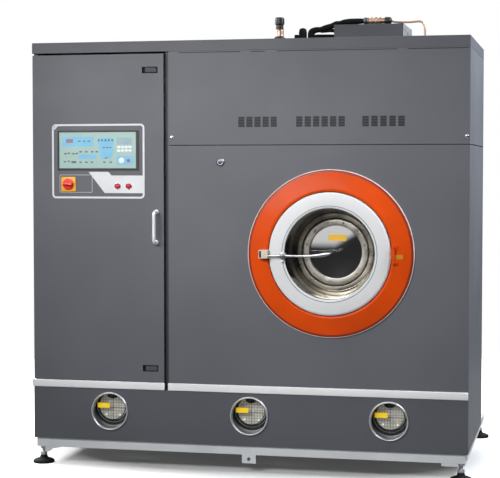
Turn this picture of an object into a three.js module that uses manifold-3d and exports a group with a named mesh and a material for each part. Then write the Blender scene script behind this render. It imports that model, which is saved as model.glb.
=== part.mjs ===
// Dry cleaning machine: cabinet, control door, solvent tanks, loading door, drum and drive.
// Millimetres. +X is to the right, +Y to the back and +Z up. Y = 0 is the face of the front panels.
import * as THREE from 'three';
import { mergeVertices } from 'three/addons/utils/BufferGeometryUtils.js';
import Module from 'manifold-3d';

const wasm = await Module();
wasm.setup();

// ---- Driving dimensions --------------------------------------------------------------------

const FIT = 0.3;                    // gap between two pieces that touch

// Facets round a turn
const WIDE = 32;                    // rings of the loading door
const ROUND = 24;                   // tub, drum and glasses
const MEDIUM = 14;                  // bezels, pulleys and motor
const SMALL = 10;                   // feet, knobs and buttons
const FOOT_SIDES = 12;
const FINE = 8;                     // pins, bolts and small bores

// Cabinet
const CABINET_WIDTH = 1850;
const CABINET_DEPTH = 770;
const CABINET_TOP = 1798;
const CAP_SKIRT = 45;
const PAN_DEPTH = 20;               // how far a panel's edges are folded back
const SHEET = 2;
const SEAM = 3;                     // seam between the upper and lower panels
const SEAM_HEIGHT = 1363;
const STRIP_BOTTOM = 334;
const STRIP_TOP = 366;
const STRIP_PROUD = 6;
const DOOR_GAP = 21;                // open gap to the right of the control door
const DOOR_GAP_RIGHT = -324;

// Base frame and feet
const FRAME_BOTTOM = 74;
const RAIL_HEIGHT = 38;
const RAIL_FLANGE = 50;
const RAIL_WALL = 4;
const FRAME_INSET = 9;
const FRAME_BACK = 1085;
const CROSS_X = 320;
const FOOT_INSET = 30;              // foot centre from the side of the cabinet
const FOOT_FROM_RAIL = 26;          // foot centre from the face of the rail
const FOOT_RADIUS = 46;
const FOOT_RIM = 9;
const FOOT_HEIGHT = 32;
const STEM_RADIUS = 8;
const STEM_CLEARANCE = 0.4;
const NUT_RADIUS = 14;
const NUT_HEIGHT = 12;
const TAB_WIDTH = 60;
const TAB_DROP = 36;
const TAB_X = 18;
const TAB_HOLE = 7;

// Sight glasses and solvent tanks
const SIGHT_X = [-584, 22, 605];
const SIGHT_Z = 238;
const SIGHT_OPENING = 74;
const BEZEL_OUTER = 82;
const BEZEL_INNER = 71;
const BEZEL_PROUD = 9;
const PORT_FACE = 34;               // front of the tank's glass flange, behind the panel face
const PORT_Z = SIGHT_Z + 17;        // the tank's windows lie above the middle of the panel's openings
const PORT_FLANGE = 66;
const PORT_BORE = 54;
const SIGHT_GLASS_RADIUS = 60;
const SIGHT_GLASS_THICK = 8;
const TANK_FRONT = 108;
const TANK_BACK = 700;
const TANK_INSET = 55;              // side of the tanks from the side of the cabinet
const TANK_TOP = 340;
const TANK_WALL = 4;

// Control door
const DOOR_BOTTOM = 367.5;
const DOOR_TOP = 1745;
const DOOR_EDGE = 2;                // door edge from the side of the cabinet
const DOOR_SWING = 3;               // room behind the door's edge as it swings
const DOOR_AXIS_INSET = 10;
const DOOR_HINGES = [470, 1620];
const HINGE_PIN = 4;
const HINGE_CLEARANCE = 0.4;
const HINGE_ARM = 8;
const BOSS_RADIUS = 8;
const BOSS_HEIGHT = 24;
const SCREEN = { left: -806, right: -460, bottom: 1267, top: 1420 };
const SCREEN_FRAME = 6;
const SCREEN_PROUD = 1.5;
const SCREEN_RECESS = 2.5;
const SWITCH = {
  x: -763, z: 1200, plate: 64, plateThick: 4, knob: 23, knobDepth: 22, neck: 14, shaft: 5, contacts: 24,
};
const BUTTONS_X = [-545.5, -496.5];
const BUTTONS_Z = 1192;
const BUTTON = { bezel: 14.5, bezelDepth: 4, barrel: 11, bore: 9.7, cap: 9.2, proud: 6, travel: 4, rail: 10 };
const BOW = { x: -377, z: 1020.5, centres: 128, reach: 38, radius: 7, corner: 16 };
const LATCH = { left: -437, width: 66, height: 25, thick: 8, pin: 2.5, ear: 4, gap: 1 };
const LATCHES_Z = [425, 1677.5];

// Right-hand front panels
const VENT_GROUPS = [[-11, 34, 5], [232, 35, 6], [505, 36.5, 5]];   // first column, pitch, columns
const VENT = { width: 26, height: 7, rows: 4, pitch: 11.6, bottom: 1437 };
const LOCK = { x: -100, z: 1293, rose: 17.5, barrel: 9, proud: 9, cam: 44 };

// Loading door
const PORTHOLE_X = 362;
const PORTHOLE_Z = 918;
const SURROUND_OUTER = 344;
const SURROUND_LIFT = 27;
const RING_OUTER = 252;
const RING_GAP = 3.5;               // running gap between the door ring and its surround
const RING_INNER = 187;
const RING_FACE = 31;               // how far the door ring stands in front of the panels
const RING_SKIN = 4;
const PANEL_OPENING = 264;
const DISH_FLOOR = 143;
const DISH_STEP = 20;               // the flange round the clamp ring lies this far above the floor
const DISH_RADIUS = 163;
const DISH_WALL = 3;
const DOOR_GLASS = 128;
const GLASS_THICK = 8;
const CLAMP_OUTER = 139;
const CLAMP_INNER = 111;
const CLAMP_THICK = 9;
const PORTHOLE_AXIS = { x: 262, y: -34 };
const LUG_RADIUS = 7;
const LUG_HALF = 22;
const EAR_HALF = 40;
const LEVER = { x: -190, z: -8, y: -46, thick: 8, pin: 5, hub: 12, tip: -258, grip: 16, arm: 5 };
const KEEPER = { left: -290, right: -252, bottom: -20, top: 15, front: -54 };

// Drum, tub and drive
const TUB_RADIUS = 320;
const TUB_FRONT = 70;
const TUB_BACK = 560;
const TUB_WALL = 3;
const NECK_RADIUS = 236;
const NECK_FRONT = 24;
const SADDLE = { half: 0.72, top: -120, thick: 6, front: 90, back: 100 };
const DRUM_CLEARANCE = 32;
const DRUM_RADIUS = TUB_RADIUS - DRUM_CLEARANCE;
const DRUM_FRONT = 84;
const DRUM_BACK = 505;
const DRUM_WALL = 2.5;
const DRUM_MOUTH = 218;
const LIFTERS = 4;
const HOLE_ROWS = 3;
const HOLE_RADIUS = 9;
const LIFTER_HEIGHT = 62;
const LIFTER_HALF = 34;
const SHAFT_RADIUS = 22;
const SHAFT_CLEARANCE = 1;
const HUB = { radius: 150, thick: 8, boss: 24, length: 22 };
const BEARING_BACK = 745;
const BEARING_RADIUS = 62;
const PULLEY_FRONT = 800;
const PULLEY_WIDTH = 34;
const DRUM_PULLEY = 165;
const MOTOR_PULLEY = 55;
const MOTOR = { x: 345, z: 262, radius: 88, front: 860, back: 1060, shaft: 12 };
const BELT_WIDTH = 18;
const BELT_THICK = 11;
const GROOVE = 12;

// On the roof
const ROOF_Y = 350;
const STUB = { x: 78, base: 38, rim: 6, cone: 34, throat: 17, collar: 20.5, collarLow: 88, height: 120.7 };
const TOP_BOX = { left: 324, right: 620, front: 300, back: 606, height: 79.7 };
const SUCTION = { radius: 12, branch: 7.2, riser: 215, end: 455 };
const SHOE = { left: 140, right: 240, height: 12, half: 20 };
const CAPPED = { x: 180, radius: 17, height: 73, shoulder: 62 };
const VALVE = { radius: 17, neck: 14, lengths: [15, 30, 13, 23, 26] };   // thick and thin by turns
const COPPER = { radius: 4.5, drop: 706, dip: 5 };

// Control compartment
const PLATE = { side: 30, end: 60, thick: 3, stud: 8, studInset: 30 };
const DEVICE_RAIL = { half: 18, depth: 10, inset: 20 };
const DEVICE_HALF = 45;
// Rows of switchgear: height, count, width and depth
const DEVICE_ROWS = [[620, 3, 104, 90], [900, 2, 150, 110], [1200, 4, 78, 85]];

// ---- Values worked out from them ------------------------------------------------------------

const SIDE = CABINET_WIDTH / 2;
const RAIL_TOP = FRAME_BOTTOM + RAIL_HEIGHT;
const PANEL_BOTTOM = RAIL_TOP + FIT;
const PANEL_TOP = CABINET_TOP - CAP_SKIRT - FIT;
const SIDE_FRONT = PAN_DEPTH + 1;
const SIDE_BACK = CABINET_DEPTH - PAN_DEPTH - FIT;
const DOOR_LEFT = -SIDE + DOOR_EDGE;
const DOOR_RIGHT = DOOR_GAP_RIGHT - DOOR_GAP;
const TANK_HALF_WIDTH = SIDE - TANK_INSET;
const DOOR_AXIS_X = DOOR_LEFT + DOOR_AXIS_INSET;
const DOOR_AXIS_Y = DOOR_AXIS_INSET;
const RAIL_FRONT = FRAME_INSET;
const SURROUND_INNER = RING_OUTER + RING_GAP;

// ---- Solids ---------------------------------------------------------------------------------

// Turns a three.js geometry into a closed solid whose faces point out.
function solid(geometry) {
  const bare = new THREE.BufferGeometry();
  bare.setAttribute('position', geometry.getAttribute('position').clone());
  if (geometry.index) bare.setIndex(geometry.index.clone());
  const merged = mergeVertices(bare, 1e-4);
  const index = merged.index.array;
  const kept = [];
  for (let i = 0; i < index.length; i += 3) {
    const [a, b, c] = [index[i], index[i + 1], index[i + 2]];
    if (a !== b && b !== c && c !== a) kept.push(a, b, c);
  }
  const vertProperties = Float32Array.from(merged.getAttribute('position').array);
  if (signedVolume(vertProperties, kept) < 0) kept.reverse();
  const triVerts = Uint32Array.from(kept);
  return new wasm.Manifold(new wasm.Mesh({ numProp: 3, vertProperties, triVerts }));
}

function signedVolume(points, triangles) {
  const corner = (i) => new THREE.Vector3().fromArray(points, 3 * triangles[i]);
  let sum = 0;
  for (let i = 0; i < triangles.length; i += 3) {
    sum += corner(i).dot(corner(i + 1).cross(corner(i + 2)));
  }
  return sum / 6;
}

const join = (first, ...others) => others.reduce((sum, next) => sum.add(next), first);
const cut = (first, ...others) => others.reduce((rest, next) => rest.subtract(next), first);

function block([x0, x1], [y0, y1], [z0, z1]) {
  const box = new THREE.BoxGeometry(x1 - x0, y1 - y0, z1 - z0);
  return solid(box.translate((x0 + x1) / 2, (y0 + y1) / 2, (z0 + z1) / 2));
}

// A round bar along Y, X or Z through a centre point, from one station to the other.
function barY(x, z, radius, y0, y1, sides = FINE) {
  const bar = new THREE.CylinderGeometry(radius, radius, y1 - y0, sides);
  return solid(bar.translate(x, (y0 + y1) / 2, z));
}

function barX(y, z, radius, x0, x1, sides = FINE) {
  const bar = new THREE.CylinderGeometry(radius, radius, x1 - x0, sides).rotateZ(Math.PI / 2);
  return solid(bar.translate((x0 + x1) / 2, y, z));
}

function barZ(x, y, radius, z0, z1, sides = FINE) {
  const bar = new THREE.CylinderGeometry(radius, radius, z1 - z0, sides).rotateX(Math.PI / 2);
  return solid(bar.translate(x, y, (z0 + z1) / 2));
}

// Round holes: the flats of the faceted bore stay outside the radius that has to pass.
const outside = (radius, sides) => radius / Math.cos(Math.PI / sides);
const boreY = (x, z, radius, y0, y1, sides = FINE) => barY(x, z, outside(radius, sides), y0, y1, sides);
const boreZ = (x, y, radius, z0, z1, sides = FINE) => barZ(x, y, outside(radius, sides), z0, z1, sides);

// A closed profile of [radius, y] pairs turned about a line along Y.
function turnedY(profile, sides, x = 0, z = 0) {
  const points = profile.map(([r, y]) => new THREE.Vector2(r, y));
  const closed = points[0].x > 0 ? [...points, points[0].clone()] : points;
  return solid(new THREE.LatheGeometry(closed, sides).translate(x, 0, z));
}

// A closed profile of [radius, z] pairs turned about an upright line.
function turnedZ(profile, sides, x = 0, y = 0) {
  const points = profile.map(([r, z]) => new THREE.Vector2(r, z));
  const closed = points[0].x > 0 ? [...points, points[0].clone()] : points;
  return solid(new THREE.LatheGeometry(closed, sides).rotateX(Math.PI / 2).translate(x, y, 0));
}

function outline(corners) {
  return new THREE.Shape(corners.map(([a, b]) => new THREE.Vector2(a, b)));
}

// An outline in X and Z, as seen from the front, made thick along Y.
function plateY(shape, y0, y1, curveSegments = 12) {
  const plate = new THREE.ExtrudeGeometry(shape, { depth: y1 - y0, bevelEnabled: false, curveSegments });
  return solid(plate.rotateX(Math.PI / 2).translate(0, y1, 0));
}

// An outline in X and Y, as seen from above, made tall along Z.
function plateZ(shape, z0, z1, curveSegments = 12) {
  const plate = new THREE.ExtrudeGeometry(shape, { depth: z1 - z0, bevelEnabled: false, curveSegments });
  return solid(plate.translate(0, 0, z0));
}

// An outline in Y and Z, as seen from the right, made long along X.
function plateX(shape, x0, x1) {
  const plate = new THREE.ExtrudeGeometry(shape, { depth: x1 - x0, bevelEnabled: false });
  const turn = new THREE.Matrix4().makeBasis(
    new THREE.Vector3(0, 1, 0), new THREE.Vector3(0, 0, 1), new THREE.Vector3(1, 0, 0));
  return solid(plate.applyMatrix4(turn).translate(x0, 0, 0));
}

function tube(points, radius, sides, steps) {
  const path = new THREE.CatmullRomCurve3(points.map((p) => new THREE.Vector3(...p)), false, 'centripetal');
  return tubeAlong(path, radius, sides, steps);
}

function tubeAlong(path, radius, sides, steps) {
  const ring = new THREE.Shape();
  for (let i = 0; i < sides; i += 1) {
    const angle = (2 * Math.PI * i) / sides;
    const place = [radius * Math.cos(angle), radius * Math.sin(angle)];
    if (i === 0) ring.moveTo(...place);
    else ring.lineTo(...place);
  }
  return solid(new THREE.ExtrudeGeometry(ring, { steps, extrudePath: path, bevelEnabled: false }));
}

// A folded sheet pan: a block hollowed out from the side that its open face points to.
function pan(x, y, z, open) {
  const within = ([low, high]) => [low + SHEET, high - SHEET];
  const inner = { x: within(x), y: within(y), z: within(z) };
  const reach = 5;
  if (open === 'back') inner.y[1] = y[1] + reach;
  if (open === 'front') inner.y[0] = y[0] - reach;
  if (open === 'right') inner.x[1] = x[1] + reach;
  if (open === 'left') inner.x[0] = x[0] - reach;
  if (open === 'down') inner.z[0] = z[0] - reach;
  return cut(block(x, y, z), block(inner.x, inner.y, inner.z));
}

function finish(color, roughness, metalness) {
  return new THREE.MeshStandardMaterial({ color, roughness, metalness });
}

const GRAPHITE = () => finish(0x595b60, 0.5, 0.1);
const ORANGE = () => finish(0xd9531e, 0.4, 0.0);
const WHITE = () => finish(0xe4e5e8, 0.4, 0.0);
const STEEL = () => finish(0xb9bbbd, 0.3, 1.0);
const CHROME = () => finish(0xd6d8da, 0.1, 1.0);
const SILVER = () => finish(0xb4b8bb, 0.45, 0.2);
const ZINC = () => finish(0xb0b4ba, 0.5, 0.8);
const BLACK = () => finish(0x16171a, 0.5, 0.0);
const GLASS = () => finish(0x9fb0b0, 0.05, 0.0);

const machine = new THREE.Group();

function add(group, name, body, material) {
  const mesh = body.getMesh();
  const geometry = new THREE.BufferGeometry();
  geometry.setAttribute('position', new THREE.BufferAttribute(Float32Array.from(mesh.vertProperties), 3));
  geometry.setIndex(new THREE.BufferAttribute(Uint32Array.from(mesh.triVerts), 1));
  const part = new THREE.Mesh(geometry, material);
  part.name = name;
  group.add(part);
}

// ---- Base frame and feet --------------------------------------------------------------------

// Section of a rail: web at 0, flanges reaching to the given side.
function railSection(side) {
  const at = (u, z) => [side * u, FRAME_BOTTOM + z];
  return outline([
    at(0, 0), at(RAIL_FLANGE, 0), at(RAIL_FLANGE, RAIL_WALL), at(RAIL_WALL, RAIL_WALL),
    at(RAIL_WALL, RAIL_HEIGHT - RAIL_WALL), at(RAIL_FLANGE, RAIL_HEIGHT - RAIL_WALL),
    at(RAIL_FLANGE, RAIL_HEIGHT), at(0, RAIL_HEIGHT),
  ]);
}

const RAIL_HALF = SIDE - FRAME_INSET;
const FOOT_X = SIDE - FOOT_INSET;
const FOOT_Y = [RAIL_FRONT + FOOT_FROM_RAIL, FRAME_BACK - FOOT_FROM_RAIL];
const CROSS_SPAN = [RAIL_FRONT + RAIL_FLANGE + FIT, FRAME_BACK - RAIL_FLANGE - FIT];

function stemHoles(y) {
  const z = [FRAME_BOTTOM - 1, FRAME_BOTTOM + RAIL_WALL + 1];
  const drill = (x) => boreZ(x, y, STEM_RADIUS + STEM_CLEARANCE, ...z);
  return [drill(-FOOT_X), drill(FOOT_X)];
}

function frontRail() {
  const rail = plateX(railSection(1), -RAIL_HALF, RAIL_HALF).translate([0, RAIL_FRONT, 0]);
  const tabX = [TAB_X - TAB_WIDTH / 2, TAB_X + TAB_WIDTH / 2];
  const tabY = [RAIL_FRONT, RAIL_FRONT + RAIL_WALL];
  const tab = block(tabX, tabY, [FRAME_BOTTOM - TAB_DROP, FRAME_BOTTOM + RAIL_WALL]);
  const hole = boreY(TAB_X, FRAME_BOTTOM - TAB_DROP / 2, TAB_HOLE, tabY[0] - 1, tabY[1] + 1);
  return cut(join(rail, tab), hole, ...stemHoles(FOOT_Y[0]));
}

function rearRail() {
  const rail = plateX(railSection(-1), -RAIL_HALF, RAIL_HALF).translate([0, FRAME_BACK, 0]);
  return cut(rail, ...stemHoles(FOOT_Y[1]));
}

// A rail along Y with its web at X = web, flanges reaching to the given side.
function lengthRail(web, side) {
  const z = [FRAME_BOTTOM, RAIL_TOP];
  const between = (u, v) => [web + side * u, web + side * v].sort((a, b) => a - b);
  const whole = block(between(0, RAIL_FLANGE), CROSS_SPAN, z);
  const hollow = between(RAIL_WALL, RAIL_FLANGE + 1);
  const room = block(hollow, [CROSS_SPAN[0] - 1, CROSS_SPAN[1] + 1], [z[0] + RAIL_WALL, z[1] - RAIL_WALL]);
  return cut(whole, room);
}

// Levelling foot: a round pad, its threaded stem, and the nuts that grip the rail's lower flange.
function foot(x, y) {
  const nutBottom = FRAME_BOTTOM - FIT - NUT_HEIGHT;
  const nutTop = FRAME_BOTTOM + RAIL_WALL + FIT;
  const pad = turnedZ([
    [0, 0], [FOOT_RADIUS, 0], [FOOT_RADIUS, FOOT_RIM],
    [FOOT_RADIUS * 0.62, FOOT_HEIGHT * 0.7], [FOOT_RADIUS * 0.42, FOOT_HEIGHT], [0, FOOT_HEIGHT],
  ], FOOT_SIDES, x, y);
  const stem = barZ(x, y, STEM_RADIUS, FOOT_HEIGHT - 2, RAIL_TOP - RAIL_WALL - 2);
  const lower = barZ(x, y, NUT_RADIUS, nutBottom, FRAME_BOTTOM - FIT, 6);
  const upper = barZ(x, y, NUT_RADIUS, nutTop, nutTop + NUT_HEIGHT, 6);
  return join(pad, stem, lower, upper);
}

add(machine, 'base_rail_front', frontRail(), SILVER());
add(machine, 'base_rail_rear', rearRail(), SILVER());
add(machine, 'base_rail_left', lengthRail(-RAIL_HALF, 1), SILVER());
add(machine, 'base_rail_right', lengthRail(RAIL_HALF, -1), SILVER());
add(machine, 'base_cross_left', lengthRail(-CROSS_X, 1), SILVER());
add(machine, 'base_cross_right', lengthRail(CROSS_X, 1), SILVER());
[['front', FOOT_Y[0]], ['rear', FOOT_Y[1]]].forEach(([end, y]) => {
  add(machine, `foot_${end}_left`, foot(-FOOT_X, y), BLACK());
  add(machine, `foot_${end}_right`, foot(FOOT_X, y), BLACK());
});

// ---- Kick panel, sight glasses and tanks ------------------------------------------------------

function kickPanel() {
  const panel = pan([-SIDE, SIDE], [0, PAN_DEPTH], [PANEL_BOTTOM, STRIP_BOTTOM], 'back');
  const openings = SIGHT_X.map((x) => boreY(x, SIGHT_Z, SIGHT_OPENING, -1, SHEET + 1, MEDIUM));
  return cut(panel, ...openings);
}

// Bright ring round the opening, with a short skirt that passes through the panel.
function sightBezel(x) {
  const skirt = SIGHT_OPENING - FIT;
  return turnedY([
    [BEZEL_INNER, -BEZEL_PROUD], [BEZEL_OUTER - 4, -BEZEL_PROUD], [BEZEL_OUTER, -BEZEL_PROUD + 5],
    [BEZEL_OUTER, -FIT], [skirt, -FIT], [skirt, PAN_DEPTH], [BEZEL_INNER, PAN_DEPTH],
  ], MEDIUM, x, SIGHT_Z);
}

function sightGlass(x) {
  return barY(x, PORT_Z, SIGHT_GLASS_RADIUS, PORT_FACE + FIT, PORT_FACE + SIGHT_GLASS_THICK, MEDIUM);
}

// Flange in front of the tank, with the rebate that the sight glass sits in.
function tankPort(x) {
  const seat = PORT_FACE + SIGHT_GLASS_THICK + FIT;
  return turnedY([
    [PORT_BORE, seat], [SIGHT_GLASS_RADIUS + FIT, seat], [SIGHT_GLASS_RADIUS + FIT, PORT_FACE],
    [PORT_FLANGE, PORT_FACE], [PORT_FLANGE, TANK_FRONT + 1], [PORT_BORE, TANK_FRONT + 1],
  ], MEDIUM, x, PORT_Z);
}

function tankBank() {
  const z = [RAIL_TOP + FIT, TANK_TOP];
  let bank = block([-TANK_HALF_WIDTH, TANK_HALF_WIDTH], [TANK_FRONT, TANK_BACK], z);
  const between = [(SIGHT_X[0] + SIGHT_X[1]) / 2, (SIGHT_X[1] + SIGHT_X[2]) / 2];
  const splits = [-TANK_HALF_WIDTH, ...between, TANK_HALF_WIDTH];
  SIGHT_X.forEach((x, i) => {
    const width = [splits[i] + TANK_WALL, splits[i + 1] - TANK_WALL];
    const depth = [TANK_FRONT + TANK_WALL, TANK_BACK - TANK_WALL];
    bank = cut(bank, block(width, depth, [z[0] + TANK_WALL, z[1] - TANK_WALL]));
    bank = cut(bank, barY(x, PORT_Z, PORT_BORE, TANK_FRONT - 1, TANK_FRONT + TANK_WALL + 1, MEDIUM));
    bank = join(bank, tankPort(x));
  });
  return bank;
}

add(machine, 'kick_panel', kickPanel(), GRAPHITE());
add(machine, 'solvent_tank_bank', tankBank(), STEEL());
SIGHT_X.forEach((x, i) => {
  add(machine, `sight_bezel_${i + 1}`, sightBezel(x), CHROME());
  add(machine, `sight_glass_${i + 1}`, sightGlass(x), GLASS());
});

// ---- Cabinet panels ---------------------------------------------------------------------------

function trimStrip(x0, x1) {
  return pan([x0, x1], [-STRIP_PROUD, PAN_DEPTH], [STRIP_BOTTOM + FIT, STRIP_TOP - FIT], 'back');
}

// The left side carries the two hinge arms and pins of the control door.
function leftSide() {
  const front = PAN_DEPTH + DOOR_SWING;
  const side = pan([-SIDE, -SIDE + PAN_DEPTH], [front, SIDE_BACK], [PANEL_BOTTOM, PANEL_TOP], 'right');
  const half = HINGE_ARM / 2;
  const hinges = DOOR_HINGES.map((z) => {
    const arm = block([DOOR_AXIS_X - half, DOOR_AXIS_X + half], [DOOR_AXIS_Y, front + 1], [z, z + HINGE_ARM]);
    const knuckle = barZ(DOOR_AXIS_X, DOOR_AXIS_Y, half, z, z + HINGE_ARM);
    const pin = barZ(DOOR_AXIS_X, DOOR_AXIS_Y, HINGE_PIN, z + half, z + HINGE_ARM + BOSS_HEIGHT);
    return join(arm, knuckle, pin);
  });
  return join(side, ...hinges);
}

function rearPanel() {
  const y = [CABINET_DEPTH - PAN_DEPTH, CABINET_DEPTH];
  const panel = pan([-SIDE, SIDE], y, [PANEL_BOTTOM, PANEL_TOP], 'front');
  return cut(panel, boreY(PORTHOLE_X, PORTHOLE_Z, BEARING_RADIUS + 12, y[0] - 1, y[1] + 1, MEDIUM));
}

function dividerWall() {
  const x = [DOOR_GAP_RIGHT - PAN_DEPTH, DOOR_GAP_RIGHT];
  return pan(x, [SIDE_FRONT, SIDE_BACK], [TANK_TOP + FIT, PANEL_TOP], 'left');
}

function upperFrontPanel() {
  let panel = pan([DOOR_GAP_RIGHT, SIDE], [0, PAN_DEPTH], [SEAM_HEIGHT + SEAM / 2, PANEL_TOP], 'back');
  VENT_GROUPS.forEach(([first, pitch, columns]) => {
    for (let column = 0; column < columns; column += 1) {
      const x = first + pitch * column;
      const half = VENT.width / 2;
      for (let row = 0; row < VENT.rows; row += 1) {
        const z = VENT.bottom + VENT.pitch * row;
        panel = cut(panel, block([x - half, x + half], [-1, SHEET + 1], [z, z + VENT.height]));
      }
    }
  });
  return panel;
}

function mainFrontPanel() {
  const z = [STRIP_TOP, SEAM_HEIGHT - SEAM / 2];
  const panel = pan([DOOR_GAP_RIGHT, SIDE], [0, PAN_DEPTH], z, 'back');
  const opening = boreY(PORTHOLE_X, PORTHOLE_Z, PANEL_OPENING, -1, SHEET + 1, WIDE);
  const lockHole = boreY(LOCK.x, LOCK.z, LOCK.barrel + FIT, -1, SHEET + 1, SMALL);
  return cut(panel, opening, lockHole);
}

// Key cam lock: rose, barrel through the panel and the cam behind it.
function camLock() {
  const rose = turnedY([
    [0, -LOCK.proud], [LOCK.rose * 0.6, -LOCK.proud], [LOCK.rose, -3], [LOCK.rose, -FIT],
    [LOCK.barrel, -FIT], [LOCK.barrel, PAN_DEPTH + 6], [0, PAN_DEPTH + 6],
  ], SMALL, LOCK.x, LOCK.z);
  const key = block([LOCK.x - 1, LOCK.x + 1], [-LOCK.proud - 1, -LOCK.proud + 3], [LOCK.z - 5, LOCK.z + 5]);
  const camZ = [LOCK.z - 8, LOCK.z + LOCK.cam];
  const cam = block([LOCK.x - 8, LOCK.x + 8], [PAN_DEPTH + 2, PAN_DEPTH + 5], camZ);
  return join(cut(rose, key), cam);
}

const lowerRight = [PANEL_BOTTOM, SEAM_HEIGHT - SEAM / 2];
const upperRight = [SEAM_HEIGHT + SEAM / 2, PANEL_TOP];
add(machine, 'trim_strip_left', trimStrip(-SIDE - 1, DOOR_GAP_RIGHT - DOOR_GAP / 2 - FIT), WHITE());
add(machine, 'trim_strip_right', trimStrip(DOOR_GAP_RIGHT - DOOR_GAP / 2, SIDE), WHITE());
add(machine, 'side_panel_left', leftSide(), GRAPHITE());
add(machine, 'side_panel_right_lower',
  pan([SIDE - PAN_DEPTH, SIDE], [SIDE_FRONT, SIDE_BACK], lowerRight, 'left'), GRAPHITE());
add(machine, 'side_panel_right_upper',
  pan([SIDE - PAN_DEPTH, SIDE], [SIDE_FRONT, SIDE_BACK], upperRight, 'left'), GRAPHITE());
add(machine, 'rear_panel', rearPanel(), GRAPHITE());
add(machine, 'divider_wall', dividerWall(), ZINC());
add(machine, 'top_cap',
  pan([-SIDE, SIDE], [0, CABINET_DEPTH], [CABINET_TOP - CAP_SKIRT, CABINET_TOP], 'down'), GRAPHITE());
add(machine, 'upper_front_panel', upperFrontPanel(), GRAPHITE());
add(machine, 'main_front_panel', mainFrontPanel(), GRAPHITE());
add(machine, 'cam_lock', camLock(), CHROME());

// ---- Control door -----------------------------------------------------------------------------

function latchOpening(z) {
  const half = LATCH.height / 2 + LATCH.gap;
  const x = [LATCH.left - LATCH.gap, LATCH.left + LATCH.width + LATCH.gap];
  return block(x, [-1, SHEET + 1], [z - half, z + half]);
}

// Ears behind the sheet that hold the paddle's pin.
function latchEars(z) {
  const half = LATCH.height / 2 + LATCH.gap;
  const x = [LATCH.left, LATCH.left + 2 * LATCH.ear + 4];
  const pinX = (x[0] + x[1]) / 2;
  const pinY = LATCH.thick / 2 + SHEET;
  const ear = (z0) => block(x, [SHEET / 2, pinY + LATCH.ear + 1], [z0, z0 + LATCH.ear]);
  const bore = boreZ(pinX, pinY, LATCH.pin + FIT, z - half - LATCH.ear - 1, z + half + LATCH.ear + 1);
  return cut(join(ear(z + half), ear(z - half - LATCH.ear)), bore);
}

function hingeBoss(z) {
  const y = [SHEET / 2, DOOR_AXIS_Y];
  const bottom = z + HINGE_ARM + FIT;
  const top = bottom + BOSS_HEIGHT;
  const web = block([DOOR_AXIS_X - 6, DOOR_AXIS_X + 6], y, [bottom, top]);
  const boss = barZ(DOOR_AXIS_X, DOOR_AXIS_Y, BOSS_RADIUS, bottom, top);
  const bore = boreZ(DOOR_AXIS_X, DOOR_AXIS_Y, HINGE_PIN + HINGE_CLEARANCE, bottom - 1, top + 1);
  return cut(join(web, boss), bore);
}

function controlDoor() {
  const z = [DOOR_BOTTOM, DOOR_TOP];
  let door = pan([DOOR_LEFT, DOOR_RIGHT], [0, PAN_DEPTH], z, 'back');
  const bevel = outline([
    [DOOR_LEFT - 1, DOOR_AXIS_Y - 1], [DOOR_AXIS_X + 1, PAN_DEPTH + 1], [DOOR_LEFT - 1, PAN_DEPTH + 1],
  ]);
  door = cut(door, plateZ(bevel, z[0] - 1, z[1] + 1));
  DOOR_HINGES.forEach((h) => {
    const edge = [DOOR_LEFT - 1, DOOR_LEFT + SHEET + 1];
    const notch = block(edge, [SHEET + 0.5, PAN_DEPTH], [h - 4, h + HINGE_ARM + 4]);
    door = join(cut(door, notch), hingeBoss(h));
  });
  LATCHES_Z.forEach((h) => {
    door = join(cut(door, latchOpening(h)), latchEars(h));
  });
  const through = [-1, SHEET + 1];
  const window = block([SCREEN.left - SCREEN_FRAME - FIT, SCREEN.right + SCREEN_FRAME + FIT], through,
    [SCREEN.bottom - SCREEN_FRAME - FIT, SCREEN.top + SCREEN_FRAME + FIT]);
  const switchHole = boreY(SWITCH.x, SWITCH.z, SWITCH.neck + FIT, ...through, SMALL);
  const buttonHoles = BUTTONS_X.map((x) => boreY(x, BUTTONS_Z, BUTTON.barrel + FIT, ...through, SMALL));
  return cut(door, window, switchHole, ...buttonHoles);
}

function screenFrame() {
  const x = [SCREEN.left - SCREEN_FRAME, SCREEN.right + SCREEN_FRAME];
  const z = [SCREEN.bottom - SCREEN_FRAME, SCREEN.top + SCREEN_FRAME];
  const frame = block(x, [-SCREEN_PROUD, PAN_DEPTH - 6], z);
  const inside = [-SCREEN_PROUD - 1, PAN_DEPTH];
  return cut(frame, block([SCREEN.left, SCREEN.right], inside, [SCREEN.bottom, SCREEN.top]));
}

function screenPlate() {
  return block([SCREEN.left + FIT, SCREEN.right - FIT], [SCREEN_RECESS, PAN_DEPTH - 7],
    [SCREEN.bottom + FIT, SCREEN.top - FIT]);
}

// Isolator: plate on the door, neck through it and the contact block behind.
function mainSwitch() {
  const half = SWITCH.plate / 2;
  const plate = block([SWITCH.x - half, SWITCH.x + half], [-FIT - SWITCH.plateThick, -FIT],
    [SWITCH.z - half + 1, SWITCH.z + half - 1]);
  const neck = barY(SWITCH.x, SWITCH.z, SWITCH.neck, -1, SHEET + 2, SMALL);
  const around = (centre) => [centre - SWITCH.contacts, centre + SWITCH.contacts];
  const rear = block(around(SWITCH.x), [SHEET + FIT, PAN_DEPTH], around(SWITCH.z));
  const bore = boreY(SWITCH.x, SWITCH.z, SWITCH.shaft + FIT, -10, PAN_DEPTH - 4);
  return cut(join(plate, neck, rear), bore);
}

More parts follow.
